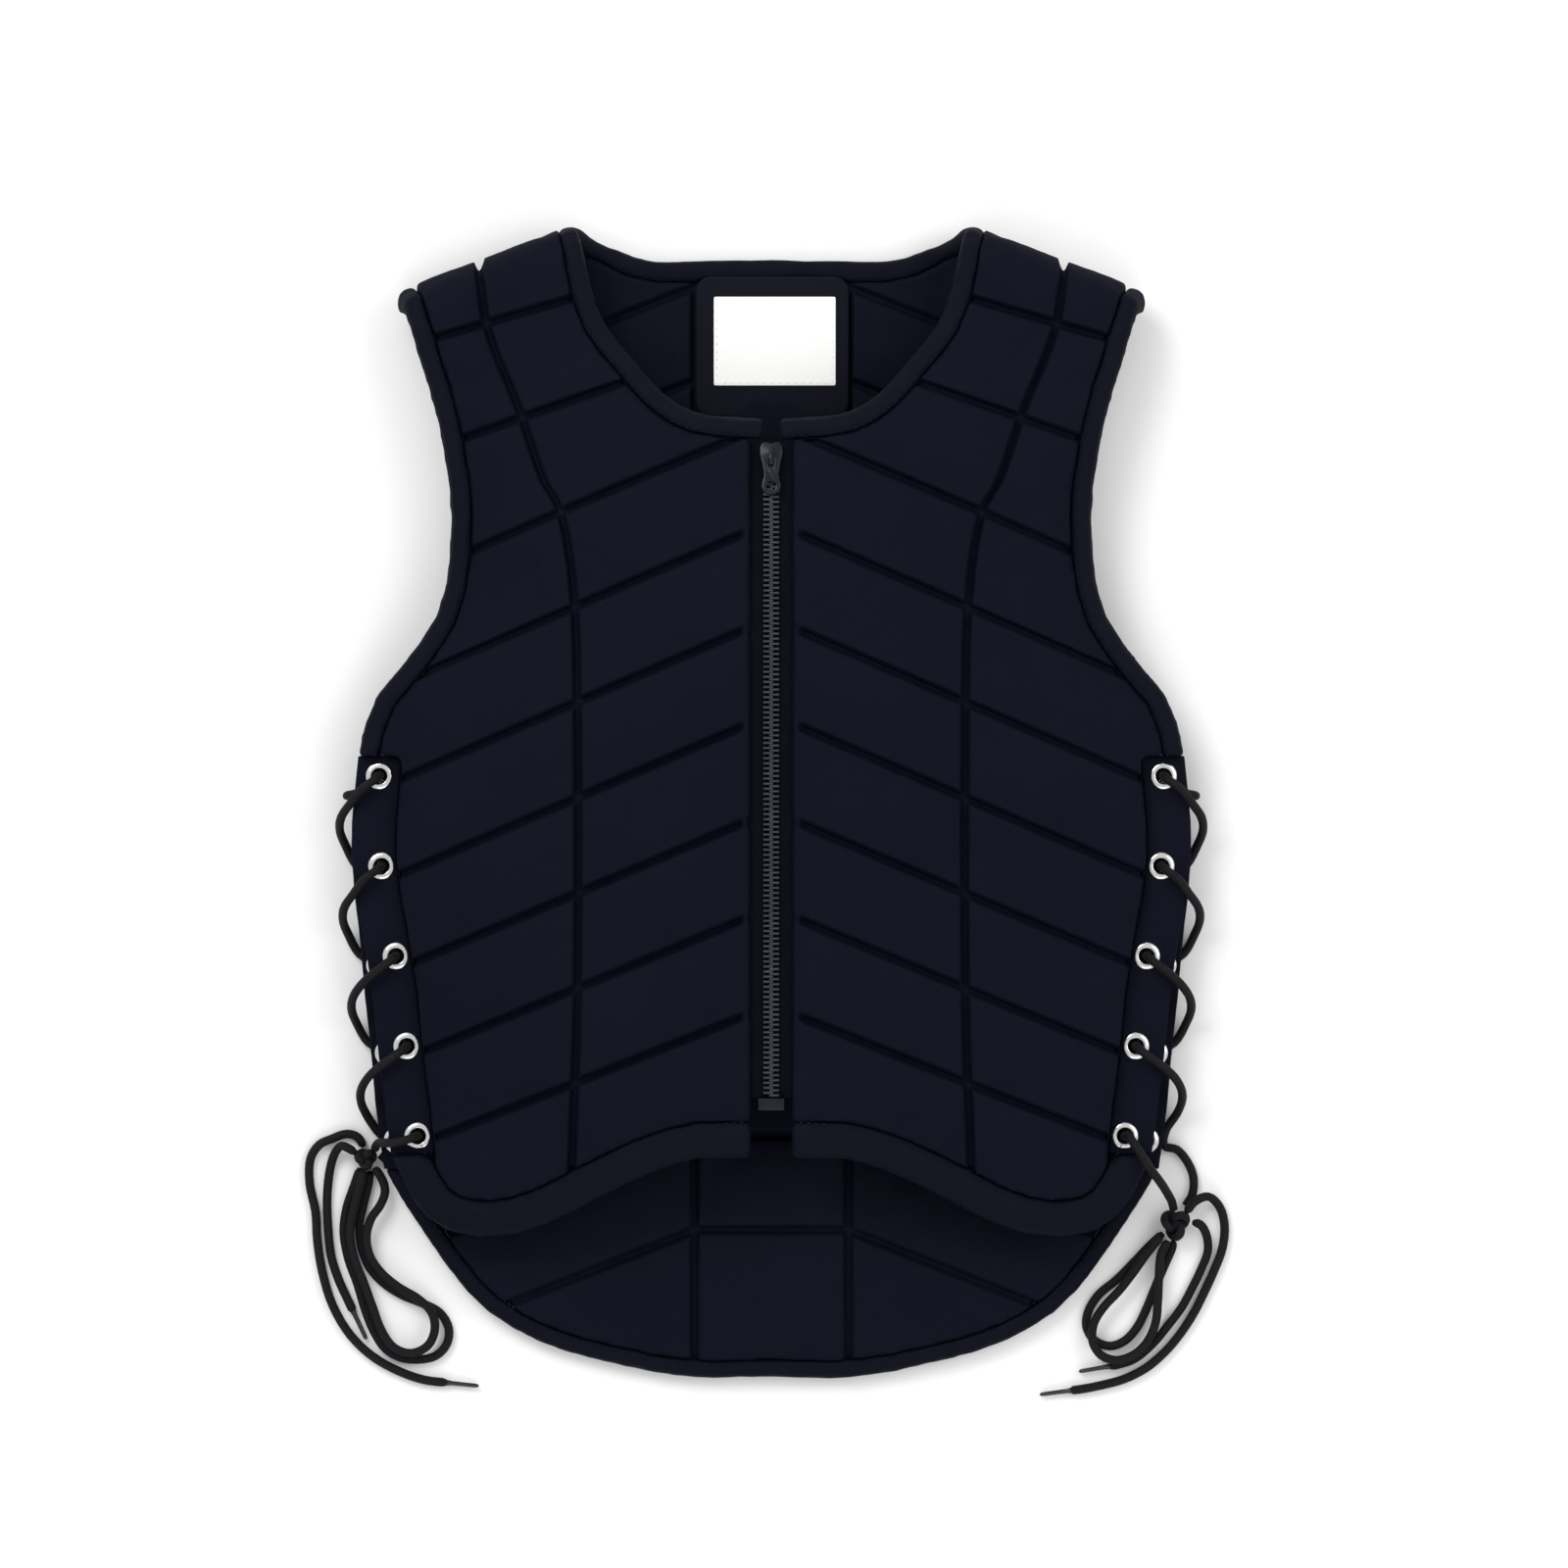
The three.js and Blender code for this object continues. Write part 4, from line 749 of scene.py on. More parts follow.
def groove_distance(x, along, face):
    """How far each point lies from the nearest sewn groove."""
    wide = np.abs(x)
    if face == "front":
        nearest = np.abs(wide - np.interp(along, SEAM_STEPS, SEAMS))
        for i, slope in enumerate(FRONT_ROW_SLOPES):
            level = FIRST_FRONT_ROW - i * ROW_PITCH
            line = level - slope * (wide - np.interp(level, SEAM_STEPS, SEAMS))
            nearest = np.minimum(nearest, np.abs(along - line) / math.hypot(1, slope))
        return nearest
    nearest = np.abs(wide - BACK_SEAM_X)
    for i in range(BACK_ROWS):
        line = FIRST_BACK_ROW - i * ROW_PITCH - BACK_ROW_SLOPE * np.maximum(0, wide - BACK_SEAM_X)
        steep = np.where(wide > BACK_SEAM_X, math.hypot(1, BACK_ROW_SLOPE), 1)
        nearest = np.minimum(nearest, np.abs(along - line) / steep)
    return nearest


def normals(mesh):
    flat = np.empty(len(mesh.vertices) * 3)
    mesh.vertices.foreach_get("normal", flat)
    return flat.reshape(-1, 3)


FACING = 0.3


def skins(piece, face):
    """Which points lie on the outer and on the inner face, and not on the pad's walls."""
    points = coordinates(piece.data)
    x, along, depth = lay_out(points, face)
    out = fold_back(x, along, depth - MM, face) - points
    out /= np.maximum(np.linalg.norm(out, axis=1, keepdims=True), 1e-9)
    facing = np.sum(normals(piece.data) * out, axis=1)
    outer = (facing > FACING) & (depth < FOAM / 2)
    inner = (facing < -FACING) & (depth > FOAM / 2)
    return points, x, along, depth, outer, inner


# Padded pieces: remeshed, swollen as cloth under pressure, softened, then sewn down

SWELL_FRAMES = 18
HOLD_WIDTH = 4 * MM
HOLD_EVERY = 7
REFINE_MARGIN = 0.6 * MM


def remesh(piece, voxel):
    piece.data.remesh_voxel_size = voxel
    only(piece)
    bpy.ops.object.voxel_remesh()


def level_faces(piece, face):
    """Fills the remeshed grooves, so that they can be sewn in cleanly later."""
    points, x, along, depth, outer, inner = skins(piece, face)
    depth = np.where(outer, 0.0, np.where(inner, FOAM, depth))
    move_points(piece.data, fold_back(x, along, depth, face))


def add_swelling(piece, face):
    """Cloth that is held along its grooves and rims and free between them."""
    if face:
        points, x, along, depth, outer, inner = skins(piece, face)
        near = groove_distance(x, along, face) < HOLD_WIDTH
        held = np.nonzero(near | ~(outer | inner))[0]
    else:
        points = coordinates(piece.data)
        held = np.arange(0, len(points), HOLD_EVERY)
    group = piece.vertex_groups.new(name="held")
    group.add([int(i) for i in held], 1.0, "REPLACE")
    only(piece)
    cloth = piece.modifiers.new("swelling", "CLOTH")
    settings = cloth.settings
    settings.quality = 3
    settings.mass = 0.3
    settings.tension_stiffness = 18
    settings.compression_stiffness = 18
    settings.shear_stiffness = 8
    settings.bending_stiffness = 1.2
    settings.use_pressure = True
    settings.uniform_pressure_force = 4
    settings.vertex_group_mass = "held"
    settings.shrink_min = -0.012
    settings.effector_weights.gravity = 0
    cloth.collision_settings.use_collision = False
    cloth.collision_settings.use_self_collision = False
    cloth.point_cache.frame_end = SWELL_FRAMES
    return points


def limit_swelling(piece, before, cap):
    """Applies the cloth and keeps each point within the cap and above the floor."""
    only(piece)
    bpy.ops.object.modifier_apply(modifier="swelling")
    points = coordinates(piece.data)
    moved = points - before
    size = np.linalg.norm(moved, axis=1, keepdims=True)
    moved *= np.minimum(1, cap / np.maximum(size, 1e-9))
    points = before + moved
    points[:, 2] = np.maximum(points[:, 2], FLOOR_GAP)
    move_points(piece.data, points)
    piece.vertex_groups.clear()


def refine_grooves(piece, face):
    """Splits the faces along the grooves once, so that the sewing has a fine mesh to bend."""
    mesh = piece.data
    points, x, along, depth, outer, inner = skins(piece, face)
    near = groove_distance(x, along, face) < GROOVE_HALF + REFINE_MARGIN
    near &= outer | (inner & (face == "back"))
    loops = np.empty(len(mesh.loops), dtype=np.int32)
    mesh.loops.foreach_get("vertex_index", loops)
    starts = np.empty(len(mesh.polygons), dtype=np.int32)
    mesh.polygons.foreach_get("loop_start", starts)
    chosen = np.logical_or.reduceat(near[loops], starts)
    edit(piece, "DESELECT")
    bpy.ops.mesh.select_mode(type="FACE")
    bpy.ops.object.mode_set(mode="OBJECT")
    mesh.polygons.foreach_set("select", chosen)
    bpy.ops.object.mode_set(mode="EDIT")
    bpy.ops.mesh.subdivide(number_cuts=1)
    bpy.ops.mesh.select_mode(type="VERT")
    deselect()


def sew_down(piece, face):
    """Pulls the grooves into the foam, deepest along the thread, fading out before the zip's edge."""
    points, x, along, depth, outer, inner = skins(piece, face)
    near = np.clip(groove_distance(x, along, face) / GROOVE_HALF, 0, 1)
    pull = GROOVE_DEPTH[face] * np.cos(near * math.pi / 2) ** 1.2
    if face == "front":
        reach = np.clip((np.abs(x) - GROOVE_STOP) / GROOVE_FADE, 0, 1)
        pull *= reach * reach * (3 - 2 * reach)
    depth = depth + np.where(outer, pull, 0)
    if face == "back":
        depth = depth - np.where(inner, pull, 0)
    move_points(piece.data, fold_back(x, along, depth, face))


PRESS = {"panel": 0.35 * MM, "band": 0.55 * MM, "strip": 0.25 * MM}


def press_together(piece, kind):
    """Lets a pad press on the pads beside it, so that no seam gapes, and keeps it off the floor."""
    apply_modifier(piece, "DISPLACE", strength=PRESS[kind], mid_level=0.0)
    points = coordinates(piece.data)
    points[:, 2] = np.maximum(points[:, 2], FLOOR_GAP)
    move_points(piece.data, points)


PANEL_TRIANGLES = 188000


def thin_out(piece):
    """Merges the triangles that the flat cloth between the grooves has no use for."""
    count = sum(len(face.vertices) - 2 for face in piece.data.polygons)
    if count > PANEL_TRIANGLES:
        apply_modifier(piece, "DECIMATE", ratio=PANEL_TRIANGLES / count)


PADS_TO_MAKE = []


def pad(node, name, voxel, material, face, cap, fill, rounds=2):
    """Starts a pad. cap is how far the cloth may move, rounds how often it is smoothed afterwards."""
    piece = copy_of_node(node, name)
    remesh(piece, voxel)
    if face:
        level_faces(piece, face)
    PADS_TO_MAKE.append((piece, node, material, face, cap, fill, rounds))
    return piece


for mark in ("l", "r"):
    pad(f"front_panel_{mark}", f"quilted_front_{mark}", 3.2 * MM, cover, "front", 1.6 * MM, 0.8)
    pad(f"armhole_band_{mark}", f"padded_armhole_{mark}", 2.5 * MM, binding, None, 0.7 * MM, 0.7, 3)
    pad(f"front_hem_band_{mark}", f"padded_front_hem_{mark}", 2.6 * MM, binding, None, 0.9 * MM, 0.7, 3)
pad("back_panel", "quilted_back", 4.2 * MM, cover, "back", 1.6 * MM, 0.8)
pad("neck_band", "padded_neck", 2.5 * MM, binding, None, 0.7 * MM, 0.7, 3)
pad("back_hem_band", "padded_back_hem", 2.4 * MM, binding, None, 0.7 * MM, 0.7, 3)

starts = [add_swelling(entry[0], entry[3]) for entry in PADS_TO_MAKE]
for step in range(1, SWELL_FRAMES + 1):
    bpy.context.scene.frame_set(step)
for (piece, node, material, face, cap, fill, rounds), start in zip(PADS_TO_MAKE, starts):
    limit_swelling(piece, start, cap)
bpy.context.scene.frame_set(1)

for piece, node, material, face, cap, fill, rounds in PADS_TO_MAKE:
    apply_modifier(piece, "SMOOTH", factor=0.5, iterations=rounds)
    apply_modifier(piece, "SUBSURF", levels=1, render_levels=1)
    press_together(piece, "panel" if face else "band")
    if face:
        refine_grooves(piece, face)
        sew_down(piece, face)
        apply_modifier(piece, "SMOOTH", factor=0.4, iterations=1)
        thin_out(piece)
    dress(piece, material, [node])


# Lacing strips: soft flat edges with punched holes

for face in ("front", "back"):
    for mark in ("l", "r"):
        node = f"{face}_lacing_strip_{mark}"
        strip = copy_of_node(node, f"{face}_side_strip_{mark}")
        remesh(strip, 1.5 * MM)
        apply_modifier(strip, "SMOOTH", factor=0.5, iterations=2)
        press_together(strip, "strip")
        dress(strip, cover, [node])


# Eyelets: a rolled ring, extruded loop by loop, then copied to each hole

EYELET_PROFILE = [
    (3.7, -2.2), (3.7, 2.2), (3.9, 2.75), (4.5, 3.15), (5.4, 3.2), (6.5, 2.95), (7.2, 2.55), (7.35, 2.3),
    (7.1, 2.15), (5.0, 2.2), (5.0, -2.2), (7.1, -2.15), (7.35, -2.3), (7.2, -2.55), (6.5, -2.95),
    (5.4, -3.2), (4.5, -3.15), (3.9, -2.75), (3.7, -2.2),
]


EYELET_SIDES = 26
EYELET_TURN = 0.7


def turned_ring(name, profile, sides):
    """A ring whose section is given as radius and height pairs, in mm."""
    radius, level = profile[0]
    bpy.ops.mesh.primitive_circle_add(
        vertices=sides, radius=radius * MM, fill_type="NOTHING", location=(0, 0, level * MM),
    )
    ring = bpy.context.object
    ring.name = ring.data.name = name
    settle(ring)
    edit(ring)
    for (r0, z0), (r1, z1) in zip(profile, profile[1:]):
        bpy.ops.mesh.extrude_region_move(TRANSFORM_OT_translate={"value": (0, 0, (z1 - z0) * MM)})
        if r1 != r0:
            bpy.ops.transform.resize(value=(r1 / r0, r1 / r0, 1), center_override=(0, 0, 0))
    bpy.ops.mesh.select_all(action="SELECT")
    bpy.ops.mesh.remove_doubles(threshold=2 * MERGE_DISTANCE)
    bpy.ops.mesh.normals_make_consistent(inside=False)
    deselect()
    return ring


deselect()
ring = turned_ring("eyelet_pattern", EYELET_PROFILE, EYELET_SIDES)
for face in ("front", "back"):
    for mark in ("l", "r"):
        for number in range(1, 6):
            node = f"{face}_eyelet_{mark}{number}"
            low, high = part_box(node)
            centre = (Vector(low) + Vector(high)) / 2
            mesh = ring.data.copy()
            mesh.transform(Matrix.Translation(centre) @ Matrix.Rotation(number * EYELET_TURN, 4, "Z"))
            rolled = bpy.data.objects.new(f"rolled_{node}", mesh)
            bpy.context.scene.collection.objects.link(rolled)
            dress(rolled, nickel, [node], angle=50)
bpy.data.objects.remove(ring)


# Zip: woven tapes, interlocking teeth, bottom box, slider and pull

def grid_ribbon(name, x0, x1, y0, y1, depth, thickness, columns, rows):
    """A band of woven cloth that follows the front's arch at a depth under its face."""
    points, faces = [], []
    for i in range(rows + 1):
        y = y0 + (y1 - y0) * i / rows
        for j in range(columns + 1):
            x = x0 + (x1 - x0) * j / columns
            points.append(Vector((x, y, front_height(x, y) - depth)))
    wide = columns + 1
    for i in range(rows):
        for j in range(columns):
            a = i * wide + j
            faces.append((a, a + 1, a + wide + 1, a + wide))
    piece = new_piece(name, points, faces)
    apply_modifier(piece, "SOLIDIFY", thickness=thickness, offset=-1.0)
    return piece


TAPE_COLUMNS = 6
TAPE_ROWS = 110

for mark, sign in (("l", -1), ("r", 1)):
    inner, outer = sign * TAPE_INNER_X, sign * (PAD_EDGE_X - 0.1 * MM)
    tape = grid_ribbon(
        f"woven_tape_{mark}", min(inner, outer), max(inner, outer), ZIP_BOTTOM_Y, ZIP_TOP_Y,
        TAPE_DEPTH, TAPE_THICKNESS, TAPE_COLUMNS, TAPE_ROWS,
    )
    apply_modifier(tape, "BEVEL", width=0.3 * MM, segments=2, angle_limit=math.radians(50))
    dress(tape, tape_weave, [f"zip_tape_{mark}"], angle=40)

TOOTH_REACH = 1.1 * MM
TOOTH_LENGTH = 1.25 * MM
TOOTH_EDGE = 0.3 * MM


def tooth_pattern():
    """One tooth of the right row: a foot on the tape and a rounded head across the middle."""
    width = CHAIN_HALF_WIDTH + TOOTH_REACH
    bpy.ops.mesh.primitive_cube_add(
        size=1, location=(width / 2 - TOOTH_REACH, 0, 0), scale=(width, TOOTH_LENGTH, CHAIN_THICKNESS),
    )
    tooth = settle(bpy.context.object)
    edit(tooth)
    bpy.ops.mesh.bevel(offset=TOOTH_EDGE, segments=1, affect="EDGES")
    deselect()
    return tooth


tooth = tooth_pattern()
shape = coordinates(tooth.data)
tooth_faces = [tuple(face.vertices) for face in tooth.data.polygons]
bpy.data.objects.remove(tooth)
chain_top = SLIDER_Y + 1 * MM
for mark, sign, shift in (("r", 1, 0.0), ("l", -1, 0.5)):
    points, faces = [], []
    for i in range(int((chain_top - ZIP_BOTTOM_Y) / TOOTH_PITCH)):
        y = ZIP_BOTTOM_Y + (i + 0.5 + shift) * TOOTH_PITCH
        z = front_height(0, y)
        slope = (front_height(0, y + MM) - front_height(0, y - MM)) / (2 * MM)
        start = len(points)
        turn = math.atan(slope)
        for px, py, pz in shape:
            level = pz * math.cos(turn) + py * math.sin(turn)
            along = y + py * math.cos(turn) - pz * math.sin(turn)
            points.append((sign * px, along, z - CHAIN_DEPTH - CHAIN_THICKNESS / 2 + level))
        for face in tooth_faces:
            corners = [start + v for v in face]
            faces.append(tuple(corners if sign > 0 else reversed(corners)))
    row = new_piece(f"zip_teeth_{mark}", points, faces)
    dress(row, teeth_plastic, [f"zip_chain_{mark}"], angle=35)

end_box = copy_of_node("zip_box", "zip_end_box")
edit(end_box)
bpy.ops.mesh.dissolve_limited(angle_limit=math.radians(3))
deselect()
apply_modifier(end_box, "BEVEL", width=0.5 * MM, segments=3, angle_limit=math.radians(35))
dress(end_box, zip_metal, ["zip_box"], angle=40)


# Slider and pull, in mm from the pull's pin: x across, y along the zip, z out of it

PLATE_TOP = -0.65
PLATE_THICKNESS = 1.6
UNDER_PLATE = -8.7
BRIDGE_WIDTH = 2.0
PULL_THICKNESS = 1.4
PULL_BOTTOM = -0.3
EYE_Y = -15.0
EYE_RADIUS = 2.6
PULL_RADIUS = 5.0
CROWN_HALF = [
    (4.2, -6.8), (4.5, -4.0), (5.1, -1.0), (5.8, 2.0), (6.0, 4.2),
    (5.8, 6.4), (5.0, 8.2), (3.8, 9.0), (2.2, 8.9),
]
PULL_HALF = [(4.5, 0.5), (5.0, 0.0), (4.8, -2.0), (4.1, -5.2), (3.6, -8.4), (3.9, -10.6), (4.6, -12.8)]
BRIDGE_HALF = [(2.6, -0.75), (3.8, -0.75), (3.8, 1.7), (3.4, 2.4), (2.6, 2.85)]
BRIDGE_HOLE = [(1.9, 1.85), (2.4, 1.6), (2.6, 1.1)]
POST = [(1.3, 4.6), (1.3, 7.6), (-1.3, 7.6), (-1.3, 4.6)]
POST_SINK = 0.5
SLOT = [(1.35, -0.52), (1.35, -4.4), (0.8, -4.85), (-0.8, -4.85), (-1.35, -4.4), (-1.35, -0.52)]
EYE_SIDES = 32
ROUND_END_STEPS = 12
ROUND_END_START = 0.35
HEAD_REACH = 5.27 * MM
UPRIGHT = Matrix(((0, 0, 1, 0), (1, 0, 0, 0), (0, 1, 0, 0), (0, 0, 0, 1)))


def cut_plate(name, outline, low, thickness):
    """A flat plate cut to an outline of x and y pairs."""
    bpy.ops.mesh.primitive_circle_add(vertices=len(outline), radius=MM, fill_type="NGON")
    plate = bpy.context.object
    plate.name = plate.data.name = name
    settle(plate)
    move_points(plate.data, np.array([(x, y, low) for x, y in outline]) * MM)
    edit(plate)
    bpy.ops.mesh.extrude_region_move(TRANSFORM_OT_translate={"value": (0, 0, thickness * MM)})
    bpy.ops.mesh.select_all(action="SELECT")
    bpy.ops.mesh.normals_make_consistent(inside=False)
    deselect()
    return plate


def both_halves(right):
    """The whole outline from its right half, which runs from one end of the middle line to the other."""
    return right + [(-x, y) for x, y in reversed(right) if x > 0]


def combine(piece, other, operation):
    apply_modifier(piece, "BOOLEAN", object=other, operation=operation, solver="EXACT")
    bpy.data.objects.remove(other)


def finish_metal(piece, node, body):
    """Rounds the edges, puts the piece at its place on the zip and gives it its finish."""
    apply_modifier(
        piece, "BEVEL", width=0.25 * MM, segments=2, limit_method="ANGLE", angle_limit=math.radians(40),
    )
    rise = front_height(0, SLIDER_Y + HEAD_REACH) - front_height(0, SLIDER_Y - HEAD_REACH)
    turn = Matrix.Rotation(math.atan(rise / (2 * HEAD_REACH)), 4, "X")
    piece.data.transform(Matrix.Translation((0, SLIDER_Y, front_height(0, SLIDER_Y))) @ turn)
    dress(piece, zip_metal, [node], body=body, angle=40)


crown = both_halves(CROWN_HALF + [(0, 8.2)])
slider = cut_plate("slider_body", crown, PLATE_TOP - PLATE_THICKNESS, PLATE_THICKNESS)
combine(slider, cut_plate("under_plate", crown, UNDER_PLATE, PLATE_THICKNESS), "UNION")
post_height = PLATE_TOP - UNDER_PLATE - 2 * POST_SINK
combine(slider, cut_plate("post", POST, UNDER_PLATE + POST_SINK, post_height), "UNION")
arch_line = both_halves(BRIDGE_HALF) + [(-x, y) for x, y in reversed(BRIDGE_HOLE)] + BRIDGE_HOLE
arch = cut_plate("bridge", arch_line, -BRIDGE_WIDTH / 2, BRIDGE_WIDTH)
arch.data.transform(UPRIGHT)
combine(slider, arch, "UNION")
finish_metal(slider, "zip_slider", "vest")

round_end = []
for step in range(1, ROUND_END_STEPS + 1):
    turn = -math.pi / 2 * step / ROUND_END_STEPS + ROUND_END_START * (1 - step / ROUND_END_STEPS)
    round_end.append((PULL_RADIUS * math.cos(turn), EYE_Y + PULL_RADIUS * math.sin(turn)))
round_end[-1] = (0, EYE_Y - PULL_RADIUS)
pull = cut_plate("pull_tab", both_halves(PULL_HALF + round_end), PULL_BOTTOM, PULL_THICKNESS)
combine(pull, cut_plate("slot", SLOT, PULL_BOTTOM - 1, PULL_THICKNESS + 2), "DIFFERENCE")
bpy.ops.mesh.primitive_cylinder_add(
    vertices=EYE_SIDES, radius=EYE_RADIUS * MM, depth=5 * MM, location=(0, EYE_Y * MM, 0),
)
combine(pull, settle(bpy.context.object), "DIFFERENCE")
finish_metal(pull, "zip_pull", "pull")


# Label: a patch with rounded corners and a bare white label on it

def fabric_plate(name, node, thickness, corner, columns, rows, wave):
    """A plate of cloth over a node's box, with rounded corners and a slight wave."""
    low, high = (Vector(p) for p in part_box(node))
    middle = (low + high) / 2
    half_x, half_y = (high.x - low.x) / 2, (high.y - low.y) / 2
    bpy.ops.mesh.primitive_grid_add(
        x_subdivisions=columns, y_subdivisions=rows, size=2, location=(middle.x, middle.y, low.z),
    )
    plate = bpy.context.object
    plate.name = plate.data.name = name
    plate.scale = (half_x, half_y, 1)
    settle(plate)
    points = coordinates(plate.data)
    dx, dy = points[:, 0] - middle.x, points[:, 1] - middle.y
    inner_x, inner_y = half_x - corner, half_y - corner
    over_x, over_y = np.maximum(np.abs(dx) - inner_x, 0), np.maximum(np.abs(dy) - inner_y, 0)
    square = np.maximum(over_x, over_y)
    size = np.maximum(np.hypot(over_x, over_y), 1e-9)
    both = (over_x > 0) & (over_y > 0)
    fit = np.where(both, square / size, 1.0)
    points[:, 0] = middle.x + np.sign(dx) * np.where(both, inner_x + over_x * fit, np.abs(dx))
    points[:, 1] = middle.y + np.sign(dy) * np.where(both, inner_y + over_y * fit, np.abs(dy))
    points[:, 2] += thickness + wave * np.sin(dx / half_x * 2.3 + 0.6) * np.cos(dy / half_y * 1.9)
    move_points(plate.data, points)
    apply_modifier(plate, "SOLIDIFY", thickness=thickness, offset=-1.0)
    apply_modifier(plate, "BEVEL", width=thickness * 0.35, segments=2, angle_limit=math.radians(50))
    return plate


deselect()
patch = fabric_plate("satin_patch", "label_patch", 1.2 * MM, PATCH_CORNER, 44, 40, 0.15 * MM)
dress(patch, patch_satin, ["label_patch"], angle=40)
label = fabric_plate("bare_label", "label", 0.5 * MM, 0.6 * MM, 40, 30, 0.15 * MM)
dress(label, label_satin, ["label"], angle=40)


# Edge curves of the right half, as shares of the half width and half length

ARMHOLE = [
    (0.983, 0.079), (0.972, 0.122), (0.937, 0.184), (0.878, 0.235), (0.818, 0.294), (0.787, 0.335),
    (0.774, 0.374), (0.764, 0.435), (0.761, 0.499), (0.773, 0.580), (0.797, 0.670), (0.847, 0.789),
]
NECK_FRONT = [
    (0.022, 0.657), (0.098, 0.660), (0.184, 0.669), (0.256, 0.702), (0.326, 0.760), (0.393, 0.821),
    (0.428, 0.885),
]
FRONT_SIDE = [
    (0.983, 0.079), (1, -0.064), (0.991, -0.161), (0.965, -0.258), (0.949, -0.338), (0.938, -0.419),
    (0.922, -0.515), (0.905, -0.612),
]
FRONT_HEM = [
    (0.905, -0.612), (0.869, -0.670), (0.834, -0.709), (0.776, -0.741), (0.696, -0.752), (0.608, -0.747),
    (0.506, -0.720), (0.404, -0.681), (0.297, -0.644), (0.182, -0.615), (0.051, -0.605),
]
BACK_SIDE = [
    (0.983, 0.079), (1, -0.064), (0.998, -0.145), (0.982, -0.242), (0.971, -0.338), (0.956, -0.435),
    (0.945, -0.531), (0.925, -0.638),
]
BACK_HEM = [
    (0.925, -0.638), (0.882, -0.692), (0.825, -0.755), (0.758, -0.824), (0.687, -0.881), (0.550, -0.940),
    (0.381, -0.976), (0.200, -1), (0, -1),
]
STITCH_LENGTH = 2.9 * MM
STITCH_GAP = 1.3 * MM
STITCH_WIDTH = 0.6 * MM
STRIP_LEVEL = 28 * MM
BACK_STRIP_LEVEL = 12 * MM


def edge_line(table, inset, turn):
    """A smooth line along an edge, moved in from it, as pairs of x and y in metres."""
    route = smooth_route([(x * HALF_WIDTH / MM, y * HALF_LENGTH / MM, 0) for x, y in table], 8)
    line = []
    for i, point in enumerate(route):
        way = (route[min(i + 1, len(route) - 1)] - route[max(i - 1, 0)]).normalized()
        line.append((point.x - turn * way.y * inset, point.y + turn * way.x * inset))
    return line


def stitch_row(name, line, place, material):
    """Short raised threads along a line; place puts a pair of x and y on the cloth."""
    flat = [Vector((x, y, 0)) for x, y in line]
    points, faces = [], []
    step = STITCH_LENGTH + STITCH_GAP
    run, due = 0.0, step / 2
    for a, b in zip(flat, flat[1:]):
        size = (b - a).length
        while run + size >= due and size > 0:
            middle = a.lerp(b, (due - run) / size)
            way = (b - a) / size
            side = Vector((-way.y, way.x, 0)) * STITCH_WIDTH / 2
            ends = [place(*(middle + way * reach).xy) for reach in (-STITCH_LENGTH / 2, STITCH_LENGTH / 2)]
            centre = place(*middle.xy)
            across = place(*(middle + side).xy) - centre
            up = (ends[1] - ends[0]).cross(across).normalized() * STITCH_WIDTH * 0.45
            start = len(points)
            points += [ends[0] - up * 1.2, ends[1] - up * 1.2]
            points += [centre + across, centre - across, centre + up, centre - up]
            for m, n in ((2, 4), (4, 3), (3, 5), (5, 2)):
                faces += [(start, start + n, start + m), (start + 1, start + m, start + n)]
            due += step
        run += size
    row = new_piece(name, points, faces)
    edit(row)
    bpy.ops.mesh.normals_make_consistent(inside=False)
    deselect()
    return dress(row, material)


def on_front(depth):
    return lambda x, q: front_point(x, q, depth)


def on_level(level):
    return lambda x, y: Vector((x, y, level))


def both_sides(name, line, place):
    for mark, sign in (("l", -1), ("r", 1)):
        stitch_row(f"{name}_{mark}", [(sign * x, y) for x, y in line], place, thread)


# Each seam's name, edge, distance from it in mm, side of it and height over the cloth in mm
FRONT_SEAMS = [
    ("armhole_seam", ARMHOLE, 9.2, 1, 0.35),
    ("neck_seam", NECK_FRONT, 9.2, -1, 0.35),
    ("hem_seam", FRONT_HEM, 17.2, -1, 0.5),
]
for name, edge, inset, turn, rise in FRONT_SEAMS:
    both_sides(name, edge_line(edge, inset * MM, turn), on_front(-rise * MM))
both_sides("tail_seam", edge_line(BACK_HEM, 7.4 * MM, -1), on_level(FOAM + 0.3 * MM))
for rank, inset in (("outer", 2.2 * MM), ("inner", 21.6 * MM)):
    for side, edge, level in (("front", FRONT_SIDE, STRIP_LEVEL), ("back", BACK_SIDE, BACK_STRIP_LEVEL)):
        line = edge_line(edge, inset, -1)[4:-2]
        both_sides(f"{side}_strip_{rank}", line, on_level(level + 0.05 * MM))


# Rows of stitches round the patch and the label

CORNER_STEPS = 5


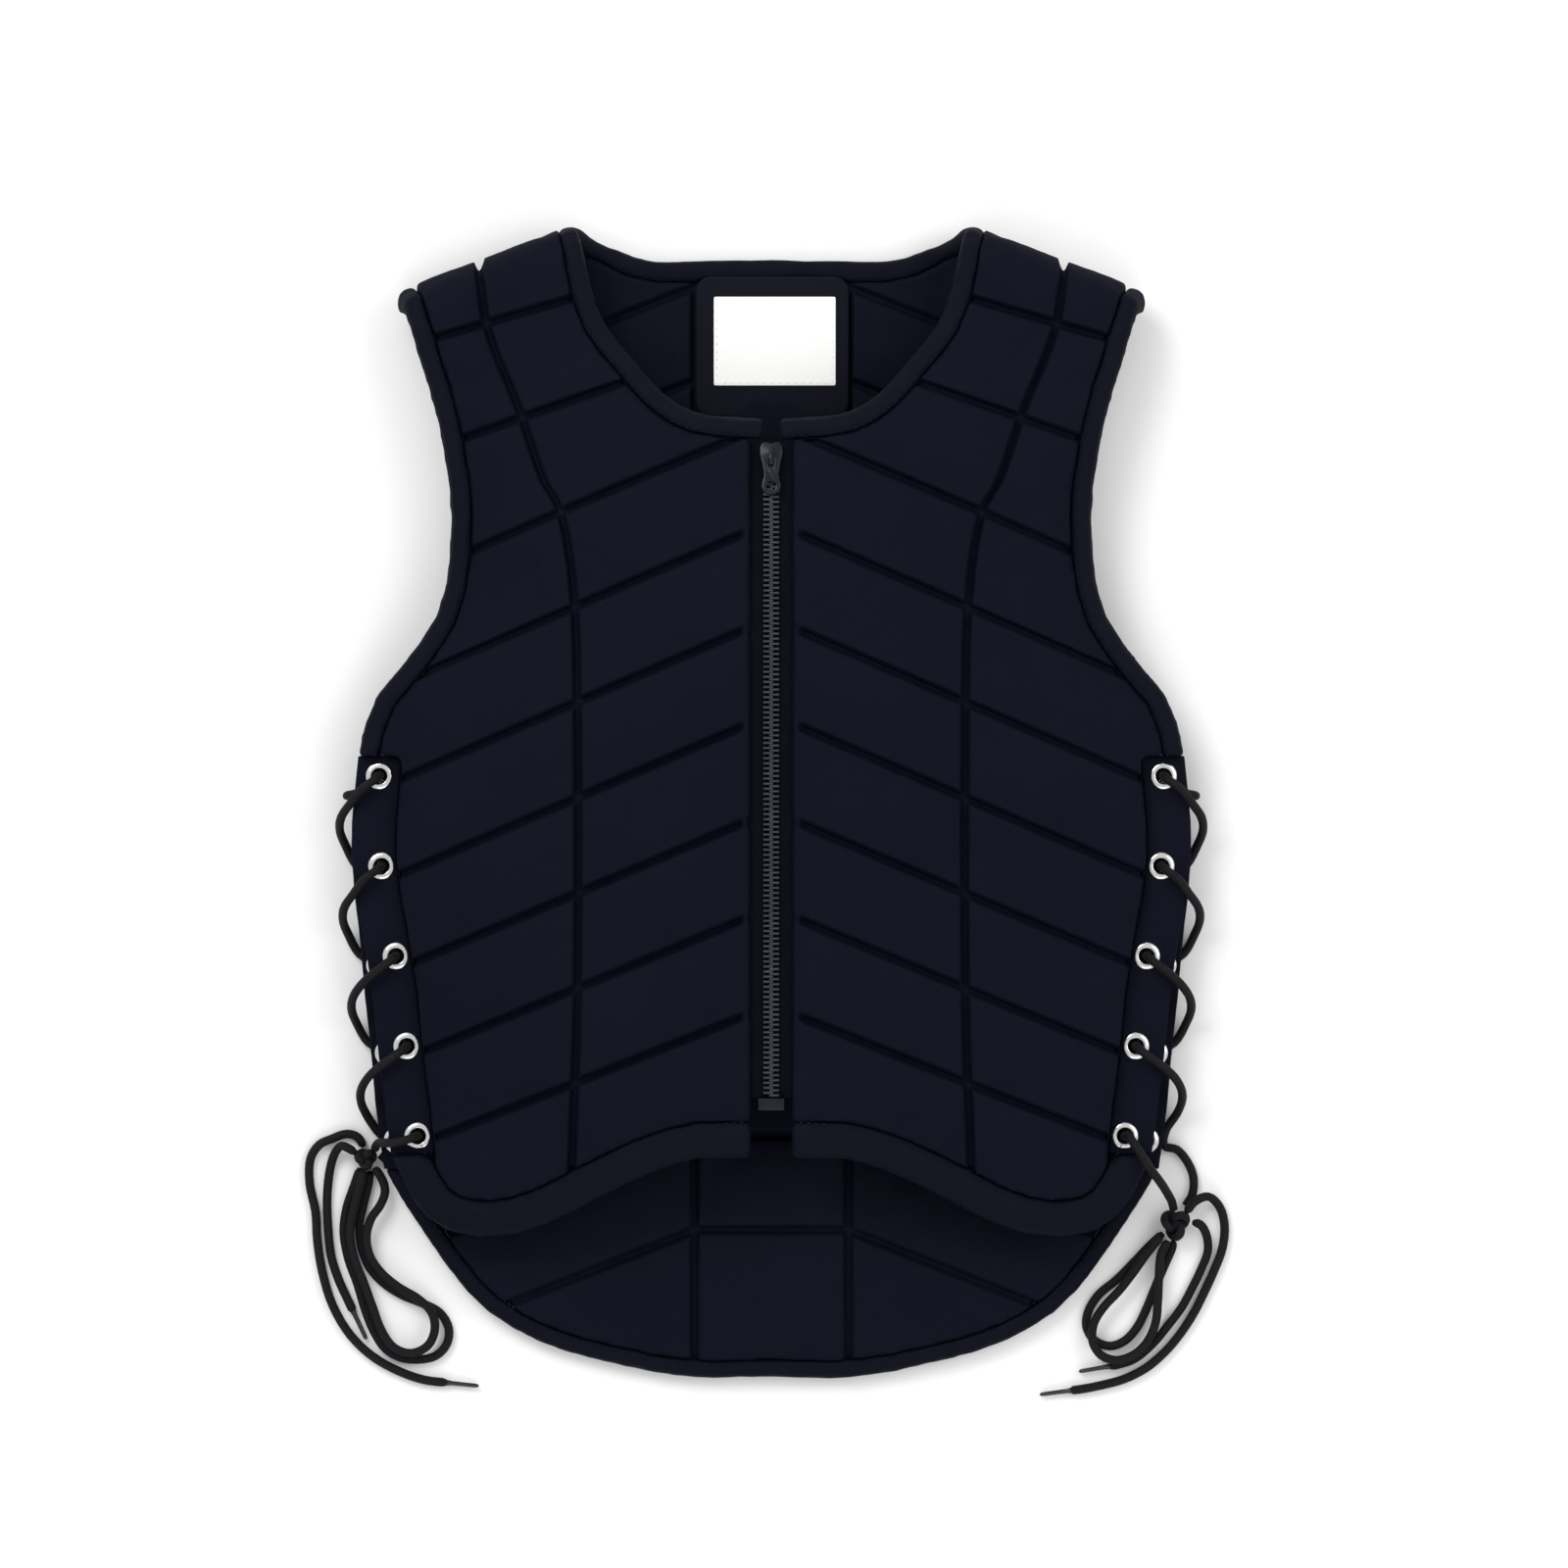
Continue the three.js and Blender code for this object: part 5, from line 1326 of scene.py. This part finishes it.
def frame_line(node, inset, corner):
    """A closed line with round corners inside a node's box."""
    low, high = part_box(node)
    left, right = low[0] + inset + corner, high[0] - inset - corner
    foot, head = low[1] + inset + corner, high[1] - inset - corner
    line = []
    for quarter, (x, y) in enumerate(((right, head), (left, head), (left, foot), (right, foot))):
        for step in range(CORNER_STEPS + 1):
            turn = math.pi / 2 * (quarter + step / CORNER_STEPS)
            line.append((x + corner * math.cos(turn), y + corner * math.sin(turn)))
    return line + line[:1]


patch_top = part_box("label_patch")[1][2] + 0.12 * MM
patch_line = frame_line("label_patch", 2.4 * MM, PATCH_CORNER - 2 * MM)
stitch_row("patch_seam", patch_line, on_level(patch_top), thread)
label_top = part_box("label")[1][2] + 0.02 * MM
label_line = frame_line("label", 1.6 * MM, 0.5 * MM)
stitch_row("label_seam", label_line, on_level(label_top), label_satin)


# Floor, light and surroundings

bpy.ops.mesh.primitive_plane_add(size=8, location=(0, 0, -0.3 * MM))
floor = bpy.context.object
floor.name = "floor"
floor_paint = bpy.data.materials.new("pale_floor")
floor_paint.use_nodes = True
floor_shader = floor_paint.node_tree.nodes["Principled BSDF"]
floor_shader.inputs["Base Color"].default_value = (0.92, 0.92, 0.92, 1)
floor_shader.inputs["Roughness"].default_value = 0.9
floor.data.materials.append(floor_paint)

world = bpy.data.worlds.new("soft_studio")
world.use_nodes = True
world.node_tree.nodes["Background"].inputs["Color"].default_value = (1, 1, 1, 1)
world.node_tree.nodes["Background"].inputs["Strength"].default_value = 0.75
bpy.context.scene.world = world
bpy.context.scene.view_settings.view_transform = "Standard"


def soft_light(name, place, size, power):
    data = bpy.data.lights.new(name, "AREA")
    data.shape = "SQUARE"
    data.size = size
    data.energy = power
    light = bpy.data.objects.new(name, data)
    light.location = place
    light.rotation_euler = (-Vector(place)).to_track_quat("-Z", "Y").to_euler()
    bpy.context.scene.collection.objects.link(light)


soft_light("key", (-1.3, 1.7, 2.4), 1.4, 42)
soft_light("fill", (1.8, 0.6, 2.0), 1.6, 16)
soft_light("foot", (0.2, -2.2, 1.8), 1.6, 12)
